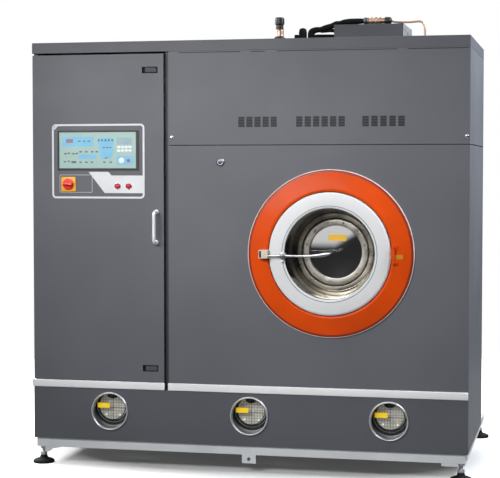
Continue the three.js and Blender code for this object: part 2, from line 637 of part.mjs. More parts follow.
function switchKnob() {
  const back = -FIT - SWITCH.plateThick - FIT;
  const front = back - SWITCH.knobDepth;
  const dial = turnedY([
    [0, back - 8], [SWITCH.knob - 2, back - 8], [SWITCH.knob, back - 6], [SWITCH.knob, back],
    [SWITCH.shaft, back], [SWITCH.shaft, PAN_DEPTH - 5], [0, PAN_DEPTH - 5],
  ], SMALL, SWITCH.x, SWITCH.z);
  const grip = block([SWITCH.x - SWITCH.knob + 3, SWITCH.x + SWITCH.knob - 3], [front, back - 7],
    [SWITCH.z - 5, SWITCH.z + 5]);
  return join(dial, grip);
}

// Two button bodies on one contact block.
function buttonBodies() {
  const depth = PAN_DEPTH - 6;
  const bodies = BUTTONS_X.map((x) => turnedY([
    [BUTTON.bore, -BUTTON.bezelDepth], [BUTTON.bezel - 2, -BUTTON.bezelDepth], [BUTTON.bezel, -2],
    [BUTTON.bezel, -FIT], [BUTTON.barrel, -FIT], [BUTTON.barrel, depth], [BUTTON.bore, depth],
  ], SMALL, x, BUTTONS_Z));
  const across = [BUTTONS_X[0] - BUTTON.rail, BUTTONS_X[1] + BUTTON.rail];
  const rail = block(across, [depth - 1, PAN_DEPTH], [BUTTONS_Z - BUTTON.rail, BUTTONS_Z + BUTTON.rail]);
  return join(rail, ...bodies);
}

function buttonCap(x) {
  const front = -BUTTON.bezelDepth - BUTTON.proud;
  return turnedY([
    [0, front], [BUTTON.cap * 0.55, front + 1], [BUTTON.cap * 0.9, front + 3.5], [BUTTON.cap, front + 6],
    [BUTTON.cap, PAN_DEPTH - 7 - BUTTON.travel - 1], [0, PAN_DEPTH - 7 - BUTTON.travel - 1],
  ], SMALL, x, BUTTONS_Z);
}

function bowHandle() {
  const [low, high] = [BOW.z - BOW.centres / 2, BOW.z + BOW.centres / 2];
  const corner = (y, z) => new THREE.Vector3(BOW.x, y, z);
  const path = new THREE.CurvePath();
  path.add(new THREE.LineCurve3(corner(-FIT, low), corner(BOW.corner - BOW.reach, low)));
  path.add(new THREE.QuadraticBezierCurve3(
    corner(BOW.corner - BOW.reach, low), corner(-BOW.reach, low), corner(-BOW.reach, low + BOW.corner)));
  path.add(new THREE.LineCurve3(corner(-BOW.reach, low + BOW.corner), corner(-BOW.reach, high - BOW.corner)));
  path.add(new THREE.QuadraticBezierCurve3(
    corner(-BOW.reach, high - BOW.corner), corner(-BOW.reach, high), corner(BOW.corner - BOW.reach, high)));
  path.add(new THREE.LineCurve3(corner(BOW.corner - BOW.reach, high), corner(-FIT, high)));
  return tubeAlong(path, BOW.radius, 8, 12);
}

function latchPaddle(z) {
  const half = LATCH.height / 2;
  const right = LATCH.left + LATCH.width;
  const pinX = LATCH.left + LATCH.ear + 2;
  const pinY = LATCH.thick / 2 + SHEET;
  const face = outline([
    [LATCH.left + 3, 0], [right, 0], [right, LATCH.thick - 3], [right - 6, LATCH.thick],
    [pinX + 6, pinY + 4], [pinX - 4, pinY + 3], [LATCH.left, 3],
  ]);
  const pin = barZ(pinX, pinY, LATCH.pin, z - half - LATCH.ear, z + half + LATCH.ear);
  return join(plateZ(face, z - half, z + half), pin);
}

// Mounting plate of the control compartment on four studs, with its rows of switchgear.
function controlPlate() {
  const x = [-SIDE + PAN_DEPTH + PLATE.side, DOOR_GAP_RIGHT - PAN_DEPTH - PLATE.side];
  const z = [STRIP_TOP + PLATE.end, PANEL_TOP - PLATE.end];
  const back = SIDE_BACK - FIT;
  const front = back - PLATE.thick;
  let plate = block(x, [front, back], z);
  [x[0] + PLATE.studInset, x[1] - PLATE.studInset].forEach((sx) => {
    [z[0] + PLATE.studInset, z[1] - PLATE.studInset].forEach((sz) => {
      plate = join(plate, barY(sx, sz, PLATE.stud, back - 1, CABINET_DEPTH - SHEET - FIT, 6));
    });
  });
  const rail = [x[0] + DEVICE_RAIL.inset, x[1] - DEVICE_RAIL.inset];
  const railFront = front - DEVICE_RAIL.depth;
  DEVICE_ROWS.forEach(([level, count, width, depth]) => {
    const around = (half) => [level - half, level + half];
    plate = join(plate, block(rail, [railFront, front + 1], around(DEVICE_RAIL.half)));
    for (let i = 0; i < count; i += 1) {
      const centre = rail[0] + ((rail[1] - rail[0]) * (i + 0.5)) / count;
      const device = [centre - width / 2, centre + width / 2];
      plate = join(plate, block(device, [front - depth, railFront + 2], around(DEVICE_HALF)));
    }
  });
  return plate;
}

add(machine, 'control_door', controlDoor(), GRAPHITE());
add(machine, 'screen_frame', screenFrame(), BLACK());
add(machine, 'control_screen', screenPlate(), finish(0xbcd6cd, 0.4, 0.0));
add(machine, 'main_switch', mainSwitch(), finish(0xe6c81e, 0.45, 0.0));
add(machine, 'main_switch_knob', switchKnob(), finish(0xc0201c, 0.35, 0.0));
add(machine, 'button_bodies', buttonBodies(), CHROME());
BUTTONS_X.forEach((x, i) => {
  add(machine, `push_button_${i + 1}`, buttonCap(x), finish(0xc8231d, 0.25, 0.0));
});
add(machine, 'bow_handle', bowHandle(), CHROME());
add(machine, 'latch_paddle_lower', latchPaddle(LATCHES_Z[0]), BLACK());
add(machine, 'latch_paddle_upper', latchPaddle(LATCHES_Z[1]), BLACK());
add(machine, 'control_plate', controlPlate(), ZINC());

// ---- Loading door, in coordinates from the middle of the porthole --------------------------------

const porthole = new THREE.Group();
porthole.position.set(PORTHOLE_X, 0, PORTHOLE_Z);
machine.add(porthole);

const HINGE_BASE = { left: 272, right: 300 };

// Fixed coloured ring round the door: a shallow cone of moulded sheet on the front panel.
function surroundRing() {
  const ring = turnedY([
    [SURROUND_OUTER, -FIT], [SURROUND_OUTER, -6], [SURROUND_OUTER - 7, -10],
    [SURROUND_INNER + 9, -SURROUND_LIFT], [SURROUND_INNER, -SURROUND_LIFT + 2],
    [SURROUND_INNER, -FIT], [SURROUND_INNER + 3, -FIT],
    [SURROUND_INNER + 3, -SURROUND_LIFT + 4], [SURROUND_OUTER - 6, -FIT],
  ], WIDE);
  const through = [-60, 5];
  const forHinge = block([HINGE_BASE.left - 1, HINGE_BASE.right + 1], through, [-EAR_HALF - 1, EAR_HALF + 1]);
  const forKeeper = block([KEEPER.left - 1, KEEPER.right + 1], through, [KEEPER.bottom - 1, KEEPER.top + 1]);
  return cut(ring, forHinge, forKeeper);
}

// Door ring with its hinge lug and the post that the lever turns on.
function doorRing() {
  const face = -RING_FACE;
  const ring = turnedY([
    [RING_OUTER, -4], [RING_OUTER, face + 7], [RING_OUTER - 7, face + 1], [RING_INNER + 5, face - 2],
    [RING_INNER, face + 1], [RING_INNER, face + 5], [RING_OUTER - 9, face + 1 + RING_SKIN],
    [RING_OUTER - 4, face + 9], [RING_OUTER - 4, -4],
  ], WIDE);
  const { x, y } = PORTHOLE_AXIS;
  const web = block([x - 20, x], [y - 4, y + 6], [-LUG_HALF, LUG_HALF]);
  const lug = barZ(x, y, LUG_RADIUS, -LUG_HALF, LUG_HALF);
  const bore = boreZ(x, y, HINGE_PIN + HINGE_CLEARANCE, -LUG_HALF - 1, LUG_HALF + 1);
  const post = barY(LEVER.x, LEVER.z, LEVER.hub + 3, LEVER.y + FIT, face + 3, SMALL);
  const pin = barY(LEVER.x, LEVER.z, LEVER.pin, LEVER.y - LEVER.thick - 3, face + 3);
  const head = barY(LEVER.x, LEVER.z, LEVER.pin + 3, LEVER.y - LEVER.thick - 5, LEVER.y - LEVER.thick - FIT);
  return join(cut(join(ring, web, lug), bore), post, pin, head);
}

// Pressed steel dish that carries the glass, with a lip behind the ring.
function doorDish() {
  const lip = -RING_FACE + 5 + FIT;
  const mouth = RING_INNER - 1;
  const step = DISH_FLOOR - DISH_STEP;
  const seat = CLAMP_OUTER + 4;
  const under = DISH_FLOOR + DISH_WALL;
  return turnedY([
    [RING_INNER + 12, lip], [mouth - 1, lip],
    [DISH_RADIUS, step], [seat, step], [seat, DISH_FLOOR], [CLAMP_INNER - 4, DISH_FLOOR],
    [CLAMP_INNER - 4, under], [seat + DISH_WALL, under], [seat + DISH_WALL, step + DISH_WALL],
    [DISH_RADIUS + DISH_WALL, step + DISH_WALL], [mouth + 2, lip + DISH_WALL],
    [RING_INNER + 12, lip + DISH_WALL],
  ], ROUND);
}

function doorGlass() {
  const back = DISH_FLOOR - FIT;
  return barY(0, 0, DOOR_GLASS, back - GLASS_THICK, back, ROUND);
}

// Ring over the edge of the glass, bolted to the floor of the dish.
function clampRing() {
  const back = DISH_FLOOR - FIT;
  const inner = back - GLASS_THICK - FIT;
  const front = inner - CLAMP_THICK;
  return turnedY([
    [CLAMP_INNER, front], [CLAMP_OUTER - 2, front], [CLAMP_OUTER, front + 3], [CLAMP_OUTER, back],
    [DOOR_GLASS + FIT, back], [DOOR_GLASS + FIT, inner], [CLAMP_INNER, inner],
  ], ROUND);
}

function hingeBracket() {
  const { x, y } = PORTHOLE_AXIS;
  const { left, right } = HINGE_BASE;
  let bracket = block([left, right], [y + 2, -FIT], [-EAR_HALF, EAR_HALF]);
  [[-EAR_HALF, -LUG_HALF - FIT], [LUG_HALF + FIT, EAR_HALF]].forEach((z) => {
    bracket = join(bracket, block([x, left + 2], [y - 4, y + 5], z), barZ(x, y, LUG_RADIUS, ...z));
  });
  return join(bracket, barZ(x, y, HINGE_PIN, -EAR_HALF + 2, EAR_HALF - 2));
}

// Locking lever: a thin tongue to the left of the pivot and a grip that widens to the right.
function doorLever() {
  const shape = new THREE.Shape();
  const { x, z, tip, grip, arm } = LEVER;
  const end = 4;
  shape.moveTo(tip, z - arm);
  shape.lineTo(x, z - arm - 3);
  shape.quadraticCurveTo(x + 95, z - arm - 8, end, z - grip / 2 + 5);
  shape.quadraticCurveTo(end + 16, z + 7, end, z + grip / 2 + 5);
  shape.quadraticCurveTo(x + 95, z + arm, x, z + arm + 3);
  shape.lineTo(tip, z + arm);
  const y = [LEVER.y - LEVER.thick, LEVER.y];
  const hub = barY(x, z, LEVER.hub, ...y, SMALL);
  const bore = boreY(x, z, LEVER.pin + FIT, y[0] - 1, y[1] + 1);
  return cut(join(plateY(shape, ...y, 6), hub), bore);
}

// Block on the surround; the tongue rests on its ledge, which is open to the front and the top.
function leverKeeper() {
  const { left, right, bottom, top, front } = KEEPER;
  const body = block([left, right], [front, -FIT], [bottom, top]);
  const slotX = [LEVER.tip - 3, right + 1];
  const slot = block(slotX, [front - 1, LEVER.y + 3], [LEVER.z - LEVER.arm - FIT, top + 1]);
  return cut(body, slot);
}

add(porthole, 'surround_ring', surroundRing(), ORANGE());
add(porthole, 'door_ring', doorRing(), WHITE());
add(porthole, 'door_dish', doorDish(), STEEL());
add(porthole, 'clamp_ring', clampRing(), STEEL());
add(porthole, 'door_glass', doorGlass(), GLASS());
add(porthole, 'loading_door_hinge', hingeBracket(), ORANGE());
add(porthole, 'door_lever', doorLever(), CHROME());
add(porthole, 'lever_keeper', leverKeeper(), finish(0xded9c8, 0.4, 0.0));

// ---- Tub, drum and drive, from the same middle ---------------------------------------------------

function tub() {
  const shell = turnedY([
    [NECK_RADIUS, NECK_FRONT], [NECK_RADIUS + TUB_WALL, NECK_FRONT],
    [NECK_RADIUS + TUB_WALL, TUB_FRONT - TUB_WALL],
    [TUB_RADIUS, TUB_FRONT - TUB_WALL], [TUB_RADIUS, TUB_BACK], [SHAFT_RADIUS + 14, TUB_BACK],
    [SHAFT_RADIUS + 14, TUB_BACK - TUB_WALL], [TUB_RADIUS - TUB_WALL, TUB_BACK - TUB_WALL],
    [TUB_RADIUS - TUB_WALL, TUB_FRONT], [NECK_RADIUS, TUB_FRONT],
  ], ROUND);
  const floor = TANK_TOP + FIT - PORTHOLE_Z;
  const saddle = (y) => {
    const half = TUB_RADIUS * SADDLE.half;
    const end = y + SADDLE.thick;
    const plate = plateY(outline([[-half, floor], [half, floor], [half, SADDLE.top], [-half, SADDLE.top]]), y, end);
    return cut(plate, barY(0, 0, TUB_RADIUS - TUB_WALL / 2, y - 1, end + 1, ROUND));
  };
  return join(shell, saddle(TUB_FRONT + SADDLE.front), saddle(TUB_BACK - SADDLE.back));
}

function lifter(angle) {
  const wedge = plateY(outline([
    [-LIFTER_HALF, -DRUM_RADIUS + 1], [LIFTER_HALF, -DRUM_RADIUS + 1],
    [LIFTER_HALF * 0.4, -DRUM_RADIUS + LIFTER_HEIGHT], [-LIFTER_HALF * 0.4, -DRUM_RADIUS + LIFTER_HEIGHT],
  ]), DRUM_FRONT + DRUM_WALL / 2, DRUM_BACK - DRUM_WALL / 2);
  const rim = turnedY([
    [0, DRUM_FRONT], [DRUM_RADIUS - 0.5, DRUM_FRONT], [DRUM_RADIUS - 0.5, DRUM_BACK], [0, DRUM_BACK],
  ], ROUND);
  return wedge.rotate([0, angle, 0]).intersect(rim);
}

// Rows of holes through the flats of the shell, left out where the lifters stand.
function perforations() {
  const holes = [];
  const pitch = (DRUM_BACK - DRUM_FRONT) / (HOLE_ROWS + 1);
  for (let i = 0; i < ROUND; i += 1) {
    const angle = (360 * (i + 0.5)) / ROUND;
    const fromLifter = Math.abs(((angle + 180 / LIFTERS) % (360 / LIFTERS)) - 180 / LIFTERS);
    if (fromLifter * (Math.PI / 180) * DRUM_RADIUS < LIFTER_HALF + HOLE_RADIUS) continue;
    for (let row = 1; row <= HOLE_ROWS; row += 1) {
      const y = DRUM_FRONT + pitch * row;
      const drill = barZ(0, y, HOLE_RADIUS, -DRUM_RADIUS - 1, HOLE_RADIUS - DRUM_RADIUS, 4);
      holes.push(drill.rotate([0, angle, 0]));
    }
  }
  return holes;
}

function drum() {
  const inside = DRUM_RADIUS - DRUM_WALL;
  let shell = turnedY([
    [DRUM_MOUTH, DRUM_FRONT - 6], [DRUM_MOUTH + DRUM_WALL, DRUM_FRONT - 6],
    [DRUM_MOUTH + DRUM_WALL + 4, DRUM_FRONT],
    [DRUM_RADIUS, DRUM_FRONT], [DRUM_RADIUS, DRUM_BACK], [SHAFT_RADIUS + FIT, DRUM_BACK],
    [SHAFT_RADIUS + FIT, DRUM_BACK - DRUM_WALL], [inside, DRUM_BACK - DRUM_WALL],
    [inside, DRUM_FRONT + DRUM_WALL], [DRUM_MOUTH, DRUM_FRONT + DRUM_WALL],
  ], ROUND);
  shell = cut(shell, ...perforations());
  for (let i = 0; i < LIFTERS; i += 1) shell = join(shell, lifter((360 * i) / LIFTERS));
  return shell;
}

// Shaft with the hub plate behind the drum and the grooved pulley at its far end.
function drumShaft() {
  const hub = DRUM_BACK + FIT;
  const back = PULLEY_FRONT + PULLEY_WIDTH;
  const shaft = turnedY([
    [0, DRUM_BACK - 14], [SHAFT_RADIUS, DRUM_BACK - 14], [SHAFT_RADIUS, hub],
    [HUB.radius, hub], [HUB.radius, hub + HUB.thick],
    [SHAFT_RADIUS + HUB.boss, hub + HUB.length], [SHAFT_RADIUS, hub + HUB.length],
    [SHAFT_RADIUS, back + 12], [0, back + 12],
  ], MEDIUM);
  return join(shaft, pulley(DRUM_PULLEY, 0, 0, SHAFT_RADIUS - 1));
}

function pulley(radius, x, z, bore) {
  const [front, back] = [PULLEY_FRONT, PULLEY_FRONT + PULLEY_WIDTH];
  const middle = (front + back) / 2;
  const half = BELT_WIDTH / 2 + FIT;
  const dish = radius > 100 ? 9 : 0;
  return turnedY([
    [bore, front + dish], [radius - GROOVE - 12, front + dish], [radius - GROOVE - 8, front], [radius, front],
    [radius, middle - half], [radius - GROOVE, middle - half], [radius - GROOVE, middle + half],
    [radius, middle + half], [radius, back], [radius - GROOVE - 10, back], [bore, back - dish],
  ], MEDIUM, x, z);
}

function bearingHousing() {
  const bore = outside(SHAFT_RADIUS + SHAFT_CLEARANCE, MEDIUM);
  return turnedY([
    [bore, TUB_BACK + FIT], [BEARING_RADIUS + 45, TUB_BACK + FIT], [BEARING_RADIUS + 45, TUB_BACK + 14],
    [BEARING_RADIUS, TUB_BACK + 26], [BEARING_RADIUS - 8, BEARING_BACK - 20],
    [BEARING_RADIUS, BEARING_BACK - 14], [BEARING_RADIUS, BEARING_BACK], [bore, BEARING_BACK],
  ], MEDIUM);
}

const motorX = MOTOR.x - PORTHOLE_X;
const motorZ = MOTOR.z - PORTHOLE_Z;

// Motor case with cooling ribs, standing on a foot that reaches the base frame.
function motorCase() {
  const floor = RAIL_TOP + FIT - PORTHOLE_Z;
  const bore = outside(MOTOR.shaft + FIT, MEDIUM);
  let body = turnedY([
    [bore, MOTOR.front], [MOTOR.radius * 0.7, MOTOR.front], [MOTOR.radius * 0.92, MOTOR.front + 14],
    [MOTOR.radius * 0.92, MOTOR.back - 40], [MOTOR.radius, MOTOR.back - 38], [MOTOR.radius, MOTOR.back - 6],
    [MOTOR.radius - 8, MOTOR.back], [bore, MOTOR.back],
  ], MEDIUM, motorX, motorZ);
  const stand = [MOTOR.front + 30, MOTOR.back - 60];
  const post = (x) => block([x - 10, x + 10], stand, [floor, motorZ - MOTOR.radius * 0.6]);
  const sole = block([motorX - 90, motorX + 90], stand, [floor, floor + 10]);
  body = join(body, sole, post(motorX - 48), post(motorX + 48));
  const ribs = 6;
  for (let i = 0; i <= ribs; i += 1) {
    const angle = (Math.PI * i) / ribs;
    const at = MOTOR.radius * 0.94;
    const rib = block([at - 8, at + 4], [MOTOR.front + 24, MOTOR.back - 46], [-1.5, 1.5]);
    body = join(body, rib.rotate([0, (-180 * angle) / Math.PI, 0]).translate([motorX, 0, motorZ]));
  }
  return body;
}

function motorRotor() {
  const wheel = pulley(MOTOR_PULLEY, motorX, motorZ, MOTOR.shaft - 1);
  return join(wheel, barY(motorX, motorZ, MOTOR.shaft, PULLEY_FRONT - 4, MOTOR.back - 60));
}

// Open belt: two arcs and two straight runs round both pulleys.
function driveBelt() {
  const arcSteps = 9;
  const flat = Math.cos(Math.PI / arcSteps);
  const loop = (extra) => {
    const big = (DRUM_PULLEY - GROOVE + FIT) / flat + extra;
    const small = (MOTOR_PULLEY - GROOVE + FIT) / flat + extra;
    const span = Math.hypot(motorX, motorZ);
    const along = Math.atan2(motorZ, motorX);
    const lean = Math.acos((big - small) / span);
    const shape = new THREE.Shape();
    shape.absarc(0, 0, big, along + lean, along - lean + 2 * Math.PI, false);
    shape.absarc(motorX, motorZ, small, along - lean, along + lean, false);
    return shape;
  };
  const middle = PULLEY_FRONT + PULLEY_WIDTH / 2;
  const y = [middle - BELT_WIDTH / 2, middle + BELT_WIDTH / 2];
  return cut(plateY(loop(BELT_THICK), ...y, arcSteps), plateY(loop(0), y[0] - 1, y[1] + 1, arcSteps));
}

add(porthole, 'tub', tub(), STEEL());
add(porthole, 'drum', drum(), STEEL());
add(porthole, 'drum_shaft', drumShaft(), STEEL());
add(porthole, 'bearing_housing', bearingHousing(), finish(0x6d7276, 0.6, 0.4));
add(porthole, 'motor', motorCase(), finish(0x3f5f7c, 0.5, 0.2));
add(porthole, 'motor_pulley', motorRotor(), STEEL());
add(porthole, 'drive_belt', driveBelt(), BLACK());

// ---- Fittings on the roof -----------------------------------------------------------------------

const ROOF = CABINET_TOP + FIT;
const BOX_TOP = ROOF + TOP_BOX.height;
const LINE_Z = BOX_TOP + FIT + VALVE.radius;   // the valve lies on the box
const rise = (share) => ROOF + share * (LINE_Z - ROOF);

function ventStub() {
  const { x, base, rim, cone, throat, collar, collarLow, height } = STUB;
  return turnedZ([
    [0, ROOF], [base, ROOF], [base, ROOF + rim], [throat, ROOF + cone], [throat, ROOF + collarLow],
    [collar, ROOF + collarLow + 4], [collar, ROOF + height - 5], [throat, ROOF + height], [0, ROOF + height],
  ], SMALL, x, ROOF_Y);
}

// Insulated suction line: a capped stub, then the lines that rise and run to the box.
function insulatedPipe() {
  const { x, radius, height, shoulder } = CAPPED;
  const capped = turnedZ([
    [0, ROOF], [radius, ROOF], [radius, ROOF + shoulder], [radius * 0.6, ROOF + height], [0, ROOF + height],
  ], SMALL, x, ROOF_Y);
  const shoeY = [ROOF_Y - SHOE.half, ROOF_Y + SHOE.half];
  const shoe = block([SHOE.left, SHOE.right], shoeY, [ROOF, ROOF + SHOE.height]);
  const { riser } = SUCTION;
  const along = (share) => riser + share * (TOP_BOX.left - riser);
  const upper = tube([
    [riser, ROOF_Y, ROOF + 2], [riser, ROOF_Y, rise(0.46)], [along(0.18), ROOF_Y, rise(0.66)],
    [along(0.55), ROOF_Y, rise(0.82)], [along(0.9), ROOF_Y, LINE_Z], [along(1.4), ROOF_Y, LINE_Z],
    [SUCTION.end, ROOF_Y, LINE_Z],
  ], SUCTION.radius, 8, 9);
  const lower = tube([
    [along(0.09), ROOF_Y, ROOF + SHOE.height + 2], [along(0.32), ROOF_Y, rise(0.31)],
    [along(0.69), ROOF_Y, rise(0.38)], [TOP_BOX.left - FIT, ROOF_Y, rise(0.38)],
  ], SUCTION.branch, 8, 6);
  return join(capped, shoe, upper, lower);
}

function topBox() {
  const { left, right, front, back } = TOP_BOX;
  return pan([left, right], [front, back], [ROOF, BOX_TOP], 'down');
}

// Valve body in thick and thin lengths on the box, then the copper line down to the roof.
function copperLine() {
  let x = SUCTION.end + FIT;
  const parts = VALVE.lengths.map((length, i) => {
    const part = barX(ROOF_Y, LINE_Z, i % 2 ? VALVE.neck : VALVE.radius, x - (i ? 1 : 0), x + length, SMALL);
    x += length;
    return part;
  });
  const { drop, dip, radius } = COPPER;
  const along = (share) => x + share * (drop - x);
  const line = tube([
    [x - 2, ROOF_Y, LINE_Z], [along(0.27), ROOF_Y, LINE_Z - dip / 2], [along(0.54), ROOF_Y, LINE_Z - dip],
    [along(0.82), ROOF_Y, LINE_Z], [along(0.97), ROOF_Y, rise(0.8)], [drop, ROOF_Y, rise(0.43)],
    [drop, ROOF_Y, ROOF],
  ], radius, 6, 10);
  return join(...parts, line);
}

add(machine, 'vent_stub', ventStub(), BLACK());
add(machine, 'insulated_pipe', insulatedPipe(), BLACK());
add(machine, 'top_box', topBox(), GRAPHITE());
add(machine, 'copper_line', copperLine(), finish(0xb87548, 0.3, 1.0));

// Stand the machine on Z = 0, with the middle of its length and depth at the origin.
machine.updateMatrixWorld(true);
const reach = new THREE.Box3().setFromObject(machine, true);
const middle = reach.getCenter(new THREE.Vector3());
machine.position.set(-middle.x, -middle.y, -reach.min.z);

export default machine;
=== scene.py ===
"""Dry cleaning machine: finishes, fine forms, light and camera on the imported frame.

Sizes are in millimetres in the source's frame: X from the middle of the cabinet, Y from the face
of the front panels and Z from the floor. TO_ROW turns them into the row frame in metres.
"""

from functools import partial
from math import cos, degrees, hypot, pi, radians, sin, sqrt, tan

import bmesh
import bpy
from mathutils import Matrix, Vector

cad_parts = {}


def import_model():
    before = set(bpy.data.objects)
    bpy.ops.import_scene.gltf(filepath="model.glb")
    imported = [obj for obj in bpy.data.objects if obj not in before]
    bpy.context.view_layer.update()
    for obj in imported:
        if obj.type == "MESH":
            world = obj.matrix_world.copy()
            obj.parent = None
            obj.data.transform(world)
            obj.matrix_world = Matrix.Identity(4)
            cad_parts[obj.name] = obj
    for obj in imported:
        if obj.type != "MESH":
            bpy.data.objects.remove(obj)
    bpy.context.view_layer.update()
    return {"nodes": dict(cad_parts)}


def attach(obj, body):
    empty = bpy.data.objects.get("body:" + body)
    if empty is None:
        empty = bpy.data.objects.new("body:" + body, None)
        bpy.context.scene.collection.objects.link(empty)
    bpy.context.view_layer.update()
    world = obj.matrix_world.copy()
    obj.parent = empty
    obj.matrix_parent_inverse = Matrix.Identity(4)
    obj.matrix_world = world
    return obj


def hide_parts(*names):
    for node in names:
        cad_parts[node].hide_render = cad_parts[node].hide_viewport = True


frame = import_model()
NODES = frame["nodes"]

DEPTH_SHIFT = -523.0            # Y of the front panels in the row frame
TO_ROW = Matrix.Translation((0, DEPTH_SHIFT / 1000, 0)) @ Matrix.Scale(0.001, 4)
ROUND, MID, SMALL = 128, 64, 32      # facets round a large, a middling and a small turned piece
SHARP = 30                      # degrees; sharper edges of a piece stay crisp
DRESSED = 35                    # degrees; sharper edges of a CAD solid are rounded

PORT_X, PORT_Z = 362.0, 918.0   # middle of the loading door
HINGE_X, HINGE_Y = PORT_X + 262, -34.0          # pin of its hinge
PIVOT_X, PIVOT_Z = PORT_X - 190, PORT_Z - 8     # pivot of its lever
SIGHT_X, SIGHT_Z = (-584.0, 22.0, 605.0), 238.0     # middles of the sight openings
LOCK_X, LOCK_Z = -100, 1293
SWITCH_X, SWITCH_Z = -763, 1200
BUTTON_X, BUTTON_Z = (-545.5, -496.5), 1192
MOTOR_X, MOTOR_Z = 345, 262
ROOF, ROOF_Y = 1798.3, 350.0    # top of the cap, and how far back the pipework stands
STUB_X = 78
PIPE_Z = 1895.3                 # axis of the upper pipe
VENT_SHADE_SHEETS = ((-30, 144), (213, 426), (486, 670))    # dark sheets behind the slots: painted shade of the cabinet's inside
VENT_GROUPS = ((-11, 34, 5), (232, 35, 6), (505, 36.5, 5))    # first column, pitch, columns
VENT_RIBS = (1444, 1455.6, 1467.2)
# stretches of the dark line under the cap: a hairline seam widened by painted shadow of the cap's lip
CAP_SEAM_SHADOWS = ((-279, -16), (28, 87), (138, 632), (676, 918))
PRINT = (-0.35, 0.2)            # printed areas lie this proud of the sheet
SCREEN_FACE = 2.5

FILL = 0.12                     # world light on the object, where 1 is white
FLOOR_SEEN = (0.8, 0.8, 0.8, 1)
FLOOR_UNSEEN = (0.22, 0.22, 0.22, 1)
FLOOR_MIRRORED = 0.2            # how bright the floor's far part is in a reflection
FLOOR_RADIUS = 3.6
FLOOR_OVAL = (0.95, 1.55, 1.0)  # the white begins nearer before and behind the machine than beside it


# ---- Colours and materials


def linear(code, dim=1.0):
    """A colour written as hex, in linear values."""
    parts = [((code >> shift) & 255) / 255 * dim for shift in (16, 8, 0)]
    return [((p + 0.055) / 1.055) ** 2.4 if p > 0.04045 else p / 12.92 for p in parts] + [1.0]


class Graph:
    """Shortcuts for building a node tree."""

    def __init__(self, tree):
        self.tree = tree

    def node(self, kind, feeds=None, **settings):
        """A node with its settings, and what each of its sockets is fed with."""
        made = self.tree.nodes.new(kind)
        for key, value in settings.items():
            setattr(made, key, value)
        for key, value in (feeds or {}).items():
            self.feed(made.inputs[key], value)
        return made

    def feed(self, target, value):
        """A link or a fixed value into a socket."""
        if isinstance(value, bpy.types.NodeSocket):
            self.tree.links.new(value, target)
        else:
            target.default_value = value

    def maths(self, operation, *values, clamp=False):
        made = self.node("ShaderNodeMath", dict(enumerate(values)), operation=operation, use_clamp=clamp)
        return made.outputs["Value"]

    def span(self, source, low, high, start=0.3, end=0.7):
        """The source's stretch from start to end, spread from low to high."""
        feeds = {"Value": source, "From Min": start, "From Max": end, "To Min": low, "To Max": high}
        return self.node("ShaderNodeMapRange", feeds).outputs["Result"]

    def blend(self, factor, first, second):
        made = self.node("ShaderNodeMix", {"Factor": factor}, data_type="RGBA")
        colours = {socket.name: socket for socket in made.inputs if socket.type == "RGBA"}
        self.feed(colours["A"], first)
        self.feed(colours["B"], second)
        return [socket for socket in made.outputs if socket.type == "RGBA"][0]


class Finish(Graph):
    """A procedural material: grain, broad colour variation and uneven gloss."""

    def __init__(self, name, code, rough, metal=0.0):
        self.material = bpy.data.materials.new(name)
        self.material.use_nodes = True
        super().__init__(self.material.node_tree)
        self.shader = self.tree.nodes["Principled BSDF"]
        self.set(Metallic=metal, Roughness=rough)
        self.material.diffuse_color = linear(code)
        self.code = code
        self.rough = rough
        self.place = self.node("ShaderNodeTexCoord").outputs["Object"]

    def set(self, **sockets):
        for key, value in sockets.items():
            self.feed(self.shader.inputs[key.replace("_", " ")], value)
        return self

    def noise(self, scale, detail=3.0, stretch=(1, 1, 1)):
        place = self.node("ShaderNodeMapping", {"Vector": self.place, "Scale": stretch}).outputs["Vector"]
        feeds = {"Vector": place, "Scale": scale, "Detail": detail, "Roughness": 0.55}
        return self.node("ShaderNodeTexNoise", feeds).outputs["Fac"]

    def colour(self, scale, spread, speck=None):
        """Broad lighter and darker areas, and fine specks if asked."""
        low, high = linear(self.code, 1 - spread), linear(self.code, 1 + spread)
        mixed = self.blend(self.span(self.noise(scale), 0, 1), low, high)
        if speck:
            grain, tint, limit = speck
            mask = self.span(self.noise(grain, detail=2), 0, 1, limit, limit + 0.04)
            mixed = self.blend(mask, mixed, linear(tint))
        return self.set(Base_Color=mixed)

    def gloss(self, scale, spread, stretch=(1, 1, 1)):
        low, high = max(self.rough - spread, 0.02), min(self.rough + spread, 1.0)
        return self.set(Roughness=self.span(self.noise(scale, stretch=stretch), low, high))

    def grain(self, scale, strength, distance=0.0003, stretch=(1, 1, 1)):
        height = self.noise(scale, 2.0, stretch)
        bump = self.node("ShaderNodeBump", {"Height": height, "Strength": strength, "Distance": distance})
        return self.set(Normal=bump.outputs["Normal"])

    def glow(self, strength):
        """Painted light: a glow from the surface itself, for what lies behind glass."""
        source = self.shader.inputs["Base Color"].links[0].from_socket
        return self.set(Emission_Color=source, Emission_Strength=strength)


def powder_coat(name, code):
    """Satin powder coat: a fine orange-peel grain with slightly uneven gloss."""
    made = Finish(name, code, 0.5).colour(2.2, 0.035, speck=(900, 0x8A8C92, 0.69))
    return made.gloss(3.0, 0.05).grain(650, 0.12).set(Specular_IOR_Level=0.3)


def enamel(name, code, rough, spread=0.03, shine=0.35):
    """Smooth stoved paint with a soft waviness."""
    made = Finish(name, code, rough).colour(4.0, spread).gloss(7.0, 0.06).grain(90, 0.06, 0.0006)
    return made.set(Specular_IOR_Level=shine, Coat_Weight=0.05, Coat_Roughness=0.15)


def brushed(name, code, rough, spread=0.1, stretch=(1, 1, 1), metal=1.0):
    made = Finish(name, code, rough, metal).colour(14, spread).gloss(26, 0.08, stretch)
    return made.grain(60, 0.10, 0.0003, stretch)


def polished(name, code, rough):
    return Finish(name, code, rough, 1.0).colour(20, 0.05).gloss(35, 0.05).grain(140, 0.02)


